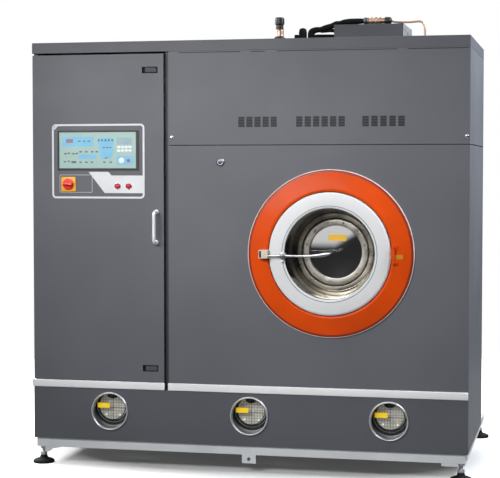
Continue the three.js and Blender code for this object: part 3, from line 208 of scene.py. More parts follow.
def plastic(name, code, rough, spread=0.05, grain=420):
    return Finish(name, code, rough).colour(12, spread).gloss(22, 0.06).grain(grain, 0.10)


def matt(name, code, rough, spread, grain, shine):
    """Dark rubber or plastic without a sheen."""
    return plastic(name, code, rough, spread, grain).set(Specular_IOR_Level=shine)


def foam(name, code):
    made = Finish(name, code, 0.8).colour(30, 0.25).gloss(40, 0.08).grain(160, 0.5, 0.0012)
    return made.set(Specular_IOR_Level=0.15)


def casting(name, code):
    return Finish(name, code, 0.6, 0.3).colour(18, 0.1).gloss(30, 0.1).grain(220, 0.4, 0.0006)


def glowing(name, code, rough, colour, grain, strength):
    """A label or bolt behind glass, brightened by painted light: a faint glow of its own."""
    return Finish(name, code, rough).colour(*colour).grain(*grain).glow(strength)


def zinc(name, code):
    """Galvanised sheet with its spangle."""
    made = Finish(name, code, 0.42, 0.75)
    cells = made.node("ShaderNodeTexVoronoi", {"Vector": made.place, "Scale": 70}).outputs["Color"]
    tone = made.node("ShaderNodeSeparateColor", {"Color": cells}).outputs
    mixed = made.blend(tone["Red"], linear(code, 0.88), linear(code, 1.08))
    made.set(Base_Color=mixed, Roughness=made.span(tone["Green"], 0.32, 0.52, 0, 1))
    return made.grain(300, 0.08)


def clear_glass(name, code):
    made = Finish(name, code, 0.02).colour(8, 0.02).gloss(12, 0.015).grain(30, 0.01, 0.0005)
    return made.set(Alpha=0.05, Specular_IOR_Level=0.6)


def dark_glass(name, code):
    """Reflecting glass of the loading door, near black and nearly opaque: painted shade for the dark drum
    behind it.
    """
    made = Finish(name, code, 0.05).colour(8, 0.1).gloss(9, 0.02).grain(12, 0.02, 0.0006)
    return made.set(Alpha=0.92, IOR=3.4, Specular_IOR_Level=1.0)


def gauze(name, code):
    """Pale wire gauze seen through a sight glass: a fine square weave over a mottled ground, brightened by a
    faint painted glow.
    """
    made = Finish(name, code, 0.5)
    waves = [made.node("ShaderNodeTexWave", {"Vector": made.place, "Scale": 27}, wave_type="BANDS",
                       bands_direction=way).outputs["Fac"] for way in ("X", "Z")]
    ground = made.blend(made.span(made.noise(60), 0, 1), linear(code, 0.88), linear(code, 1.08))
    lines = made.span(made.maths("MINIMUM", *waves), 0.8, 0, 0.0, 0.3)
    made.set(Base_Color=made.blend(lines, ground, linear(code, 0.66)))
    # painted light: a faint glow
    return made.gloss(40, 0.1).grain(500, 0.2, 0.0004).glow(0.12)


EVEN, ALONG_Z = (1, 1, 1), (1, 1, 40)   # stretch of a brushed grain
FINISHES = {
    powder_coat: {
        # graphite_deep and graphite_dark are darker copies of graphite: painted shade
        "graphite": 0x63656B, "graphite_deep": 0x5A5C62, "graphite_dark": 0x43454A, "mat_grey": 0x191A1D,
        "lip_grey": 0x36383C,
    },
    enamel: {
        # orange_edge is a darker copy of orange: painted shade
        "orange": (0xDF4D0E, 0.42, 0.05, 0.08), "orange_edge": (0x8F2C12, 0.4),
        # strip_white is a brighter copy of white: painted light
        "white": (0xE4E5E7, 0.34, 0.02, 0.25), "strip_white": (0xF7F8FA, 0.3, 0.005, 0.5),
        "silver": (0xE2E6E9, 0.42, 0.04), "motor": (0x3F5F7C, 0.4, 0.06),
    },
    brushed: {
        "steel": (0xA7A9AB, 0.28, 0.1, ALONG_Z), "steel_dark": (0x565C68, 0.3, 0.1, ALONG_Z),
        "lock_steel": (0x85898F, 0.4), "dish_steel": (0x716D65, 0.12, 0.14),
        "flange_steel": (0x938D80, 0.3, 0.22), "clamp_steel": (0xA9A59C, 0.34, 0.16),
        "bezel": (0xCACCCF, 0.42, 0.06), "lever_steel": (0x9FA1A5, 0.3, 0.12),
        "handle": (0xF2F3F5, 0.4, 0.03, EVEN, 0.35), "copper": (0x9C8372, 0.42, 0.14, (8, 1, 1)),
    },
    plastic: {
        # seam is near black for real seams, grooves and clamps, and for painted shade
        "seam": (0x1C1D20, 0.7), "trim": (0xEBD9D4, 0.35), "white_line": (0xE3E4E7, 0.5, 0.02),
        "black": (0x0A0B0E, 0.45), "screen": (0xA8C6BF, 0.35, 0.02, 700),
        "screen_blue": (0x7CC4E6, 0.35, 0.03, 700), "screen_red": (0x94707C, 0.35, 0.05, 700),
        "screen_dark": (0x55696F, 0.35, 0.05, 700), "screen_grey": (0x97B4BA, 0.3, 0.05, 700),
        "key_white": (0xEFF5F7, 0.35, 0.02, 700), "yellow": (0xF2AA16, 0.4), "tag_yellow": (0xC98E22, 0.4),
        "red": (0xE0261A, 0.3), "red_cap": (0xC22A3A, 0.2), "cream": (0xD3CDBE, 0.4),
    },
    matt: {
        "rubber": (0x0B0C0E, 0.66, 0.08, 260, 0.2), "latch_black": (0x0C0D10, 0.66, 0.06, 300, 0.12),
        "latch_face": (0x4A4C51, 0.6, 0.06, 300, 0.25),
    },
    glowing: {
        # painted light: these finishes glow a little
        "bolt_white": (0xF2F2EE, 0.3, (20, 0.02), (300, 0.05), 0.5),
        "plate_yellow": (0xDDAA1C, 0.4, (9, 0.06), (400, 0.1), 0.22),
        "lit_yellow": (0xF2CC1E, 0.4, (9, 0.05), (400, 0.1), 0.3),
    },
    polished: {"chrome": (0xCDD0D4, 0.1)},
    zinc: {"zinc": 0xAEB3B9},
    foam: {"foam": 0x0A0B0D},
    casting: {"casting": 0x6D7276},
    clear_glass: {"glass": 0x2A302E},
    dark_glass: {"dark_glass": 0x1B1D1F},
    gauze: {"gauze": 0xF0EDE0},
}
MATERIALS = {}
for make, kinds in FINISHES.items():
    for kind, values in kinds.items():
        settings = values if isinstance(values, tuple) else (values,)
        MATERIALS[kind] = make(kind, *settings).material


# ---- Meshes

AXES = {"x": (2, 0, 1), "y": (0, 2, 1), "z": (0, 1, 2)}    # where X, Y and Z lie in (u, v, height)


def polar(u, v, radius, angle):
    return u + radius * cos(angle), v + radius * sin(angle)


def turn(steps):
    """Angles of a full turn."""
    return [2 * pi * i / steps for i in range(steps)]


def disc(u, v, radius, steps=ROUND):
    return [polar(u, v, radius, a) for a in turn(steps)]


def sector(u, v, inner, outer):
    """Outline of the lower part of a ring."""
    angles = [radians(205 + 130 * k / 24) for k in range(25)]
    return [polar(u, v, outer, a) for a in angles] + [polar(u, v, inner, a) for a in reversed(angles)]


def slab(us, vs, radius=0.5, steps=4):
    """Rounded rectangle through its corner arcs."""
    (u0, u1), (v0, v1) = us, vs
    radius = min(radius, (u1 - u0) / 2 - 1e-3, (v1 - v0) / 2 - 1e-3)
    left, right, low, high = u0 + radius, u1 - radius, v0 + radius, v1 - radius
    points = []
    for u, v, start in ((right, high, 0), (left, high, 90), (left, low, 180), (right, low, 270)):
        points += [polar(u, v, radius, radians(start + 90 * k / steps)) for k in range(steps + 1)]
    return points


def skin(rows, ring=False):
    """Closed body over rows of matching points: capped at both ends, or joined into a ring."""
    bm = bmesh.new()
    rows = [[bm.verts.new(point) for point in row] for row in rows]
    for first, second in list(zip(rows, rows[1:])) + ([(rows[-1], rows[0])] if ring else []):
        for i in range(len(first)):
            j = (i + 1) % len(first)
            bm.faces.new((first[i], first[j], second[j], second[i]))
    if not ring:
        bm.faces.new(rows[0])
        bm.faces.new(rows[-1])
    bmesh.ops.recalc_face_normals(bm, faces=bm.faces)
    return bm


def loft(sections, axis="y", ring=False):
    """Skin over matching sections [(points, height), ...]."""
    order = AXES[axis]
    return skin([[[(u, v, h)[k] for k in order] for u, v in points] for points, h in sections], ring)


def fillet(profile, radius, steps=3):
    """Rounds each corner of a closed profile. A point may carry its own radius as a third number."""
    rounded = []
    count = len(profile)
    for i, point in enumerate(profile):
        own = point[2] if len(point) > 2 else radius
        here = Vector(point[:2])
        before, after = Vector(profile[i - 1][:2]) - here, Vector(profile[(i + 1) % count][:2]) - here
        angle = before.angle(after, pi)
        reach = min(own / max(tan(angle / 2), 1e-3), before.length * 0.45, after.length * 0.45)
        if own <= 0 or angle > radians(172):
            rounded.append(tuple(here))
            continue
        start, end = here + before.normalized() * reach, here + after.normalized() * reach
        for k in range(steps + 1):
            t = k / steps
            rounded.append(tuple(start * (1 - t) ** 2 + here * 2 * t * (1 - t) + end * t ** 2))
    return rounded


def turned(profile, u, v, steps=ROUND, radius=1.0, axis="y"):
    """A closed profile of (radius, height) pairs turned about an axis, with its corners rounded."""
    rounded = fillet(profile, radius)
    return loft([(disc(u, v, max(r, 0.02), steps), h) for r, h in rounded], axis, ring=True)


def at_port(profile, radius=1.0, steps=ROUND):
    """A profile turned about the axis that the loading door and the drum share."""
    return turned(profile, PORT_X, PORT_Z, steps, radius)


def prism(shape, heights, bevel=0.8, axis="y", steps=3):
    """shape(inset) gives the outline; the edges at both heights are rounded."""
    low, high = heights
    bevel = min(bevel, (high - low) / 2.01)
    angles = [radians(90 * k / steps) for k in range(steps + 1)]
    sections = [(shape(bevel * (1 - sin(a))), low + bevel * (1 - cos(a))) for a in angles]
    sections += [(shape(bevel * (1 - cos(a))), high - bevel * (1 - sin(a))) for a in angles]
    return loft(sections, axis)


def box(us, vs, hs, bevel=0.8, corner=1.0, axis="y"):
    def shape(inset):
        return slab((us[0] + inset, us[1] - inset), (vs[0] + inset, vs[1] - inset), corner)
    return prism(shape, hs, bevel, axis)


def rod(u, v, radius, hs, steps=SMALL, bevel=0.6, axis="y"):
    return prism(lambda inset: disc(u, v, radius - inset, steps), hs, bevel, axis)


def hexagon(u, v, radius, hs, bevel, axis="y"):
    return prism(lambda inset: disc(u, v, radius - inset, 6), hs, bevel, axis, 2)


def plate(points, hs, axis="y"):
    return loft([(points, hs[0]), (points, hs[1])], axis)


def plates(outlines, hs):
    return merged(*[plate(points, hs) for points in outlines])


def band(outer, inner, hs):
    """Flat frame between two matching outlines."""
    low, high = hs
    return loft([(outer, low), (outer, high), (inner, high), (inner, low)], ring=True)


def spline(points, steps):
    """Smoothed path through the points, with so many steps on each stretch."""
    last = len(points) - 1
    path = []
    for i in range(last):
        p0, p1, p2, p3 = (Vector(points[min(max(k, 0), last)]) for k in (i - 1, i, i + 1, i + 2))
        for k in range(steps):
            t = k / steps
            path.append(0.5 * (2 * p1 + (p2 - p0) * t + (2 * p0 - 5 * p1 + 4 * p2 - p3) * t ** 2
                               + (3 * p1 - p0 - 3 * p2 + p3) * t ** 3))
    return path + [Vector(points[-1])]


def sweep(points, radii, steps=16, smooth=6):
    """Round bar along a smoothed path, with one radius or one for each given point."""
    if not isinstance(radii, list):
        radii = [radii] * len(points)
    path = spline(points, smooth)
    sizes = [r0 + (r1 - r0) * (k / smooth) for r0, r1 in zip(radii, radii[1:]) for k in range(smooth)]
    sizes.append(radii[-1])
    rows = []
    side = None
    for i, place in enumerate(path):
        ahead = (path[min(i + 1, len(path) - 1)] - path[max(i - 1, 0)]).normalized()
        if side is None:
            side = ahead.orthogonal().normalized()
        side = (side - ahead * side.dot(ahead)).normalized()
        other = ahead.cross(side)
        rows.append([place + (side * cos(a) + other * sin(a)) * sizes[i] for a in turn(steps)])
    return skin(rows)


def perforated(radius, ys, thick, hole, columns, rows):
    """Round wall about the drum's axis with rows of holes, left whole under the lifters."""
    bm = bmesh.new()
    step, pitch = 2 * pi / columns, (ys[1] - ys[0]) / rows
    eighths = [radians(45 * k) for k in range(8)]
    edge = [(0.5, 0), (0.5, 0.5), (0, 0.5), (-0.5, 0.5), (-0.5, 0), (-0.5, -0.5), (0, -0.5), (0.5, -0.5)]

    def place(angle, y):
        u, v = polar(PORT_X, PORT_Z, radius, angle)
        return bm.verts.new((u, y, v))

    for i in range(columns):
        angle = (i + 0.5) * step
        for j in range(rows):
            y = ys[0] + (j + 0.5) * pitch
            outer = [place(angle + u * step, y + v * pitch) for u, v in edge]
            if under_lifter(angle):
                bm.faces.new(outer)
                continue
            inner = [place(angle + cos(a) * hole / radius, y + sin(a) * hole) for a in eighths]
            for k in range(8):
                m = (k + 1) % 8
                bm.faces.new((outer[k], outer[m], inner[m], inner[k]))
    bmesh.ops.remove_doubles(bm, verts=bm.verts, dist=0.01)
    bmesh.ops.recalc_face_normals(bm, faces=bm.faces)
    bmesh.ops.solidify(bm, geom=bm.faces, thickness=thick)
    bmesh.ops.recalc_face_normals(bm, faces=bm.faces)
    bm.verts.index_update()     # from here on, the faces get the same order at each run
    ordered = sorted(bm.faces, key=lambda face: [vert.index for vert in face.verts])
    for i, face in enumerate(ordered):
        face.index = i
    bm.faces.sort()
    return bm


def merged(*meshes):
    """One mesh out of several, each of them a closed body."""
    whole = bmesh.new()
    for bm in meshes:
        mesh = bpy.data.meshes.new("part")
        bm.to_mesh(mesh)
        bm.free()
        whole.from_mesh(mesh)
        bpy.data.meshes.remove(mesh)
    return whole


def holed(bm, *cutters):
    """The body less its cutters, by an exact boolean."""
    body = as_object("body", bm, Matrix.Identity(4))
    tool = as_object("tool", merged(*cutters), Matrix.Identity(4))
    cut = body.modifiers.new("cut", "BOOLEAN")
    cut.object, cut.solver, cut.operation = tool, "EXACT", "DIFFERENCE"
    bpy.context.view_layer.update()
    done = body.evaluated_get(bpy.context.evaluated_depsgraph_get()).to_mesh()
    result = bmesh.new()
    result.from_mesh(done)
    for made in (body, tool):
        bpy.data.meshes.remove(made.data)
    return result


def as_object(name, bm, matrix=TO_ROW):
    mesh = bpy.data.meshes.new(name)
    bm.to_mesh(mesh)
    bm.free()
    mesh.transform(matrix)
    return placed(name, mesh)


def placed(name, data):
    made = bpy.data.objects.new(name, data)
    bpy.context.scene.collection.objects.link(made)
    return made


def piece(name, shapes, material, slot=None, node=None, body="cabinet"):
    """Places one or more finished shapes on a body, with soft shading between their sharp edges.

    node is the CAD node that the piece stands for.
    """
    made = as_object(name, merged(*shapes) if isinstance(shapes, (list, tuple)) else shapes)
    made.data.shade_smooth()
    made.data.set_sharp_from_angle(angle=radians(SHARP))
    made.data.materials.append(MATERIALS[material])
    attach(made, body)
    if node:
        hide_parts(node)


on_panel = partial(piece, body="control_door")
on_door = partial(piece, body="loading_door")


def dress(node, material, bevel):
    """A CAD node whose shape is right: its finish, and a small radius on its edges."""
    target = NODES[node]
    target.data.materials.clear()
    target.data.materials.append(MATERIALS[material])
    if bevel:
        weld = target.modifiers.new("weld", "WELD")
        weld.merge_threshold = 0.00002
        flat = target.modifiers.new("flat", "DECIMATE")
        flat.decimate_type, flat.angle_limit = "DISSOLVE", radians(0.5)
        edge = target.modifiers.new("edge", "BEVEL")
        edge.width, edge.segments, edge.limit_method = bevel / 1000, 2, "ANGLE"
        edge.angle_limit = radians(DRESSED)
        even = target.modifiers.new("even", "WEIGHTED_NORMAL")
        even.weight, even.keep_sharp = 100, True


# ---- Base frame, feet and cabinet


def base():
    for part in ("rail_front", "rail_rear", "rail_left", "rail_right", "cross_left", "cross_right"):
        dress(f"base_{part}", "silver", 1.0)
    for end, y in (("front", 35.0), ("rear", 1059.0)):
        for side, x in (("left", -895.0), ("right", 895.0)):
            foot(f"foot_{end}_{side}", x, y)
    gusset = [(-880, 77), (-804, 77), (-806, 72), (-842, 66), (-862, 52), (-880, 50)]
    outlines = [slab((818, 886), (61.5, 77), 1.5), fillet(gusset, 2)]
    piece("rail_plates", plates(outlines, (9.4, 13)), "silver", "silver")


def foot(node, x, y):
    pad = turned([
        (0, 0, 1.5), (44.5, 0), (46, 5, 3), (44, 12, 5), (33, 17, 6), (22, 20.5, 4), (16.5, 24),
        (15, 31.5, 1), (0, 32, 0)], x, y, MID, 2, "z")
    piece(f"{node}_pad", pad, "rubber", "foot_black", node)
    thread = [(0, 30, 0)]
    for z in range(30, 100, 2):
        thread += [(8, z, 0), (7.2, z + 1, 0)]
    thread += [(7.5, 104, 0), (0, 106, 0)]
    stem = turned(thread, x, y, SMALL, 0, "z")
    nuts = [hexagon(x, y, 15, hs, 1.2, "z") for hs in ((34, 46), (61.7, 73.7), (78.3, 90.3))]
    piece(f"{node}_stem", (stem, *nuts), "zinc", "silver")


def cabinet():
    for node in ("side_panel_left", "side_panel_right_lower", "side_panel_right_upper", "rear_panel",
                 "main_front_panel"):
        dress(node, "graphite", 1.5)
    # painted shade: the kick panel low down and the top cap take a darker copy of the graphite
    for node in ("kick_panel", "top_cap"):
        dress(node, "graphite_deep", 1.5)
    dress("upper_front_panel", "graphite", 0)
    # painted shade: the divider wall in the gap beside the control door takes a much darker copy of graphite
    dress("divider_wall", "graphite_dark", 0.8)
    dress("control_plate", "zinc", 0.8)
    # painted shade: the roof box's front takes the same darker copy of graphite
    dress("top_box", "graphite_dark", 1.2)
    # painted light: the trim strips take a brighter copy of the white
    for side, ends in (("left", (-930, -342)), ("right", (-327, 925))):
        strip = box((-6, 2), (334.3, 365.7), ends, 1, 3, "x")
        piece(f"strip_{side}", strip, "strip_white", "white", f"trim_strip_{side}")
    # painted shadow: a dark strip under the cap's lip, over the real hairline seam
    piece("cap_seam_shadow", plates([slab(us, (1745.5, 1748.5)) for us in CAP_SEAM_SHADOWS], (-0.3, -0.05)), "seam")


def vents():
    """Dark sheets behind the slots, painted shade of the cabinet's inside, and a strip of painted shade on
    each rib between two slots.
    """
    piece("vent_shade_sheets", plates([slab(us, (1430, 1486), 2) for us in VENT_SHADE_SHEETS], (2.1, 2.9)), "mat_grey")
    rib_shades = []
    for first, pitch, columns in VENT_GROUPS:
        for column in range(columns):
            middle = first + column * pitch
            # painted shade: a darker strip over each rib between two slots
            rib_shades += [slab((middle - 13, middle + 13), (low, low + 4.6), 1) for low in VENT_RIBS]
    piece("vent_rib_shades", plates(rib_shades, (-0.4, 0.3)), "lip_grey")


def screws():
    """Bright pan heads on the upper panel."""
    profile = [(0, -3.2, 0), (4, -3.0, 1), (7.5, -1.4, 1), (8, -0.1, 0.3), (0, -0.1, 0)]
    heads = [turned(profile, x, z, SMALL) for x, z in ((-310, 1396), (913, 1395))]
    piece("panel_screws", heads, "chrome", "black_plastic")


def lock():
    rose = turned([
        (9.2, -9, 1), (12, -9, 1.2), (17.3, -3.5, 2), (17.5, -0.3),
        (9.2, -0.3)], LOCK_X, LOCK_Z, MID, 0.3)
    piece("lock_rose", rose, "lock_steel", "chrome", "cam_lock", "cam_lock")
    keyway = box((-101, -99), (1288, 1298), (-9, -4), 0.1, 0.3)
    plug = holed(rod(LOCK_X, LOCK_Z, 9, (-8.2, 26)), keyway)
    cam = box((-108, -92), (1285, 1337), (22, 25), 0.5, 4)
    piece("lock_barrel", (plug, cam), "steel_dark", "chrome", body="cam_lock")


# ---- Sight glasses and tanks


def sight(i, x):
    """Steel bezel, a cover pane with a blank label, and the tank's gauze window a little above."""
    z, top = SIGHT_Z, SIGHT_Z + 17

    def part(name, shapes, material, slot="steel", node=None):
        piece(f"sight_{i}_{name}", shapes, material, slot, node)

    bezel = turned([
        (74.5, -5.5, 1), (76.5, -8.6, 1.5), (79, -8.6, 2), (82, -4.5, 3), (82, -0.3, 0.4), (75, -0.3, 0.4),
        (75, 19.8), (73.2, 19.8), (73.2, -3)], x, z, radius=0.5)
    part("bezel", bezel, "bezel", "chrome", f"sight_bezel_{i}")
    part("cover", rod(x, z, 71.2, (20.2, 23), MID, 0.5), "glass", "glass")
    label = slab((x - 61, x - 8), (z + 10, z + 31), 1.5)
    # painted light: the label glows a little
    part("label", plate(label, (19.5, 20.3)), "lit_yellow", "switch_yellow")
    part("glass", rod(x, top, 60, (34.3, 42), MID, 0.8), "glass", "glass", f"sight_glass_{i}")
    clamp = turned([(57, 33.4, 0.4), (61, 33.0, 1), (61, 34.2), (57, 34.2)], x, top, MID, 0.2)
    # painted shade: a dark ring round the gauze and a dark crescent below it, with the real clamp ring
    shade = turned([(62, 44), (79, 44), (79, 46), (62, 46)], x, top, MID, 0.5)
    lower_shade = plate(sector(x, top, 78, 96), (44, 46))
    part("clamp", (clamp, shade, lower_shade), "seam")
    rim = turned([(69, 44, 0.5), (70.5, 41.4, 0.8), (72.6, 44.4), (70, 45)], x, top, MID, 0.4)
    sill = plate(sector(x, top, 84, 95), (43, 44.2))
    part("rims", (rim, sill), "bezel")
    part("gauze", rod(x, top, 62, (43.6, 45), MID, 0.3), "gauze")
    upright = box((x - 0.8, x + 0.8), (z - 40, z + 48), (42.6, 43.6), 0.2, 0.3)
    level = box((x - 57, x + 57), (z + 8.2, z + 9.8), (42.6, 43.6), 0.2, 0.3)
    part("wires", (upright, level), "casting")
    # painted shade: a dark half disc where the tank's port opens above the gauze
    half_turn = [pi * k / 16 for k in range(17)]
    port_shade = [(x - 2 + 25 * cos(t), z + 66 - 19 * sin(t)) for t in half_turn]
    part("port_shade", plate(port_shade, (42.5, 43.6)), "seam")
    # painted light: the bolts glow a little
    bolts = [rod(*polar(x, top, 49, radians(a)), 5.2, (42.3, 43.6), 16, 0.5) for a in (-128, -52)]
    part("bolts", bolts, "bolt_white")


def sights():
    for i, x in enumerate(SIGHT_X, 1):
        sight(i, x)


def tanks():
    bank = [box(us, (112.3, 340), (108.2, 700), 3, 6) for us in ((-870, -282), (-280, 312.5), (314.5, 870))]
    piece("tank_shells", bank, "steel", "steel", "solvent_tank_bank")


# ---- Control door

BLUE_ZONES = (((-793, -653), (1359, 1401), 2), ((-719, -640), (1307, 1326), 2),
              ((-551, -477), (1282, 1319), 3))
TUB_ZONE = [(-636, 1396), (-562, 1396), (-566, 1330), (-576, 1307), (-616, 1307), (-626, 1330)]
MARKS = (                       # the screen's short bars: width, height, bottom, and their left ends
    (12, 5, 1379, (-722, -700, -680)), (11, 6, 1326, (-783, -748)), (11, 6, 1327, (-733,)),
    (11, 6, 1328, (-768,)), (11, 6, 1334, (-716, -690, -664, -644)), (11, 6, 1292, (-786,)),
    (11, 6, 1294, (-768,)), (11, 6, 1290, (-716, -690, -666, -610, -582)),
    (8, 9, 1381, (-634, -619, -604, -589, -574)), (9, 5, 1352, (-612, -597, -583)),
    (22, 9, 1289, (-751,)), (14, 4, 1309, (-604,)),
)


def panel_print():
    """White outline and plain white field round the controls."""
    outer, inner = slab((-837, -428), (1140, 1454), 17, 8), slab((-829, -436), (1148, 1446), 10, 8)
    on_panel("print_outline", band(outer, inner, PRINT), "white_line")
    outer, inner = slab((-803, -658), (1165, 1240), 5, 5), slab((-801.5, -659.5), (1166.5, 1238.5), 4, 5)
    on_panel("print_switch_box", band(outer, inner, PRINT), "silver")
    field = [(-674, 1252), (-587, 1252), (-573, 1237), (-436, 1237), (-436, 1163), (-603, 1163)]
    on_panel("print_field", plate(field, PRINT), "white_line")
    corner = [(-831, 1446), (-831, 1424), (-827, 1429), (-812, 1443), (-806, 1447), (-829, 1447)]
    on_panel("print_corner", plate(corner, PRINT), "white_line")


def screen():
    """Plain zones, bars and keys on the screen."""
    dress("screen_frame", "black", 0.8)
    dress("control_screen", "screen", 0.4)
    # painted shadow: a dark band round the screen, widest at its right
    shade = band(slab((-812, -450), (1256, 1424), 3), slab((-806, -466), (1262, 1420), 3), (-0.3, 0.2))
    on_panel("screen_shadow_band", shade, "graphite_dark")
    behind = SCREEN_FACE + 0.2
    zone, upper = (SCREEN_FACE - 0.4, behind), (SCREEN_FACE - 0.8, SCREEN_FACE - 0.35)
    on_panel("keypad_zones", plates([slab(*blue) for blue in BLUE_ZONES] + [TUB_ZONE], zone), "screen_blue")
    on_panel("keypad_window", plate(slab((-550, -482), (1367, 1397), 1.5), zone), "screen_grey")
    on_panel("keypad_display", plate(slab((-775, -744), (1375, 1391), 1), upper), "screen_red")
    marks = [slab((u, u + wide), (v, v + high), 1) for wide, high, v, lefts in MARKS for u in lefts]
    on_panel("keypad_marks", plates(marks, upper), "screen_dark")
    keys = []
    for row in range(2):
        for column in range(4):
            u, v = -549 + 16.5 * column, 1336 + 15 * row
            keys.append(box((u, u + 14), (v, v + 10), (SCREEN_FACE - 0.9, behind), 0.3, 2))
    round_key = (SCREEN_FACE - 1.0, behind)
    keys.append(rod(-530, 1300, 12, round_key, bevel=0.4))
    on_panel("keypad_keys", keys, "key_white")
    on_panel("keypad_stop", rod(-499, 1301, 8.5, round_key, bevel=0.4), "screen_red")


def main_switch():
    x, z = SWITCH_X, SWITCH_Z
    square = box((x - 32, x + 32), (z - 31, z + 31), (-4.3, -0.3), 1, 5)
    rim = turned([(24.5, -6.3, 0.5), (27, -6, 1), (28, -4.2), (24.5, -4.2)], x, z, MID, 0.3)
    neck = rod(x, z, 14, (-1, 4))
    contact = box((x - 24, x + 24), (z - 24, z + 24), (2.3, 20), 1.0, 2)
    on_panel("isolator_plate", (square, rim, neck), "yellow", "switch_yellow", "main_switch")
    on_panel("isolator_contacts", contact, "black", "black_plastic")
    dial = turned([
        (0, -12.6, 0), (21, -12.6, 1.5), (23, -10.6, 1), (23, -4.6, 0.4), (5, -4.6), (5, 14.5),
        (0, 15, 0)], x, z, MID, 0.3)

    def grip_shape(inset):
        half, end = 6.5 - inset, 20.5 - inset
        points = slab((x - end, x + end), (z - half, z + half), 5, 5)
        return [(u, z + (v - z) * (1 - 0.28 * ((u - x) / 20) ** 2)) for u, v in points]

    grip = prism(grip_shape, (-26.2, -12), 2.2)
    pointer = box((x + 10, x + 19), (z - 0.8, z + 0.8), (-26.5, -26.0), 0.1, 0.4)
    piece("isolator_knob", (dial, grip), "red", "button_red", "main_switch_knob", "switch_knob")
    piece("isolator_pointer", pointer, "white_line", body="switch_knob")


def buttons():
    z = BUTTON_Z
    for i, x, body in zip((1, 2), BUTTON_X, ("start_button", "stop_button")):
        ring = turned([
            (9.7, -3.4), (11.9, -3.4), (12.1, -4, 0.4), (13.2, -4, 0.6), (14.4, -2, 1), (14.4, -0.3),
            (11, -0.3), (11, 14, 0.4), (9.7, 14, 0.4)], x, z, MID, 0.3)
        collar = turned([(9.7, -4.6, 0.5), (11.4, -4.4, 0.5), (11.9, -3.5), (9.7, -3.5)], x, z, MID, 0.2)
        cap = turned([
            (0, -10), (5, -9.6, 2), (8.4, -7.4, 2), (9.2, -4.6, 1), (9.2, 7.8, 0.3),
            (0, 8)], x, z, MID, 0)
        on_panel(f"button_{i}_bezel", ring, "chrome", "chrome", "button_bodies")
        on_panel(f"button_{i}_collar", collar, "red_cap", "button_red")
        piece(f"button_{i}_cap", cap, "red_cap", "button_red", f"push_button_{i}", body)
    rail = box((-555.5, -486.5), (1182, 1202), (13, 20), 0.8, 1.5)
    on_panel("button_contacts", rail, "black", "black_plastic")


def bow_handle():
    x, low, high, reach, corner = -377.0, 956.5, 1084.5, -38.0, 16.0
    half = [(x, -0.4, low), (x, reach + corner, low), (x, reach + 4, low + 4), (x, reach, low + corner)]
    points = half + [(x, reach, (low + high) / 2)] + [(x, y, low + high - z) for x, y, z in reversed(half)]
    profile = [(6.8, -3.6, 0.6), (9.6, -3.0, 1.2), (10, -0.3, 0.3), (6.8, -0.3, 0.3)]
    roses = [turned(profile, x, z, SMALL, 0.4) for z in (low, high)]
    on_panel("door_bow", (sweep(points, 7.0, 24, 8), *roses), "handle", "chrome", "bow_handle")


def latches():
    left, right = -437.0, -371.0
    side = [(left + 3, 0), (right, 0), (right, 5), (right - 6, 8), (left + 12, 10), (left + 2, 9), (left, 3)]
    for end, z in (("lower", 425.0), ("upper", 1677.5)):
        body = f"{end}_latch"
        paddle = plate(fillet(side, 1.0), (z - 12.5, z + 12.5), "z")
        bar = rod(left + 6, 6, 2.5, (z - 16.5, z + 16.5), SMALL, 0.4, "z")
        piece(f"latch_{end}_paddle", (paddle, bar), "latch_black", "black_plastic",
              f"latch_paddle_{end}", body)
        # painted highlight: the paddle's real recessed face and ridges are a lighter grey
        dish = box((left + 12, right - 4), (z - 9.5, z + 9.5), (-0.45, 0.3), 0.3, 3)
        ridges = [box((u, u + 5), (z - 5, z + 5), (-0.7, -0.3), 0.2) for u in (-420, -411, -402, -393)]
        piece(f"latch_{end}_face", (dish, *ridges), "latch_face", "black_plastic", body=body)


def control_door():
    dress("control_door", "graphite", 1.0)
    panel_print()
    screen()
    main_switch()
    buttons()
    bow_handle()
    latches()


# ---- Loading door


def surround():
    ring = at_port([
        (344, -0.3, 0.3), (344, -6, 1.5), (337, -10.5, 6), (264.5, -27, 2), (255.5, -25, 1.5),
        (255.5, -0.3), (258.5, -0.3), (258.5, -23, 1), (338, -0.3)], 0.4)
    for_hinge = box((PORT_X + 271.7, PORT_X + 300.3), (PORT_Z - 40.3, PORT_Z + 40.3), (-60, 5), 0.1, 0.5)
    for_keeper = box((PORT_X - 291, PORT_X - 251), (PORT_Z - 21, PORT_Z + 16), (-60, 5), 0.1, 2)
    piece("surround_cone", holed(ring, for_hinge, for_keeper), "orange", "orange", "surround_ring")
    # painted shade: a darker orange band on the cone's turned-down outer edge
    edge_shade = at_port([
        (332, -12.0), (337.4, -10.9, 0.5), (341.6, -8.4), (341.6, -7.2, 0.2), (337, -9.9),
        (332, -11.2, 0.2)], 0.3)
    piece("surround_edge_shade", edge_shade, "orange_edge")
    edge = at_port([(340, -9.0, 1), (344.5, -6.5, 1.2), (345, -0.3), (342, -0.3), (341, -4, 0.5)], 0.4)
    piece("surround_trim", edge, "trim")


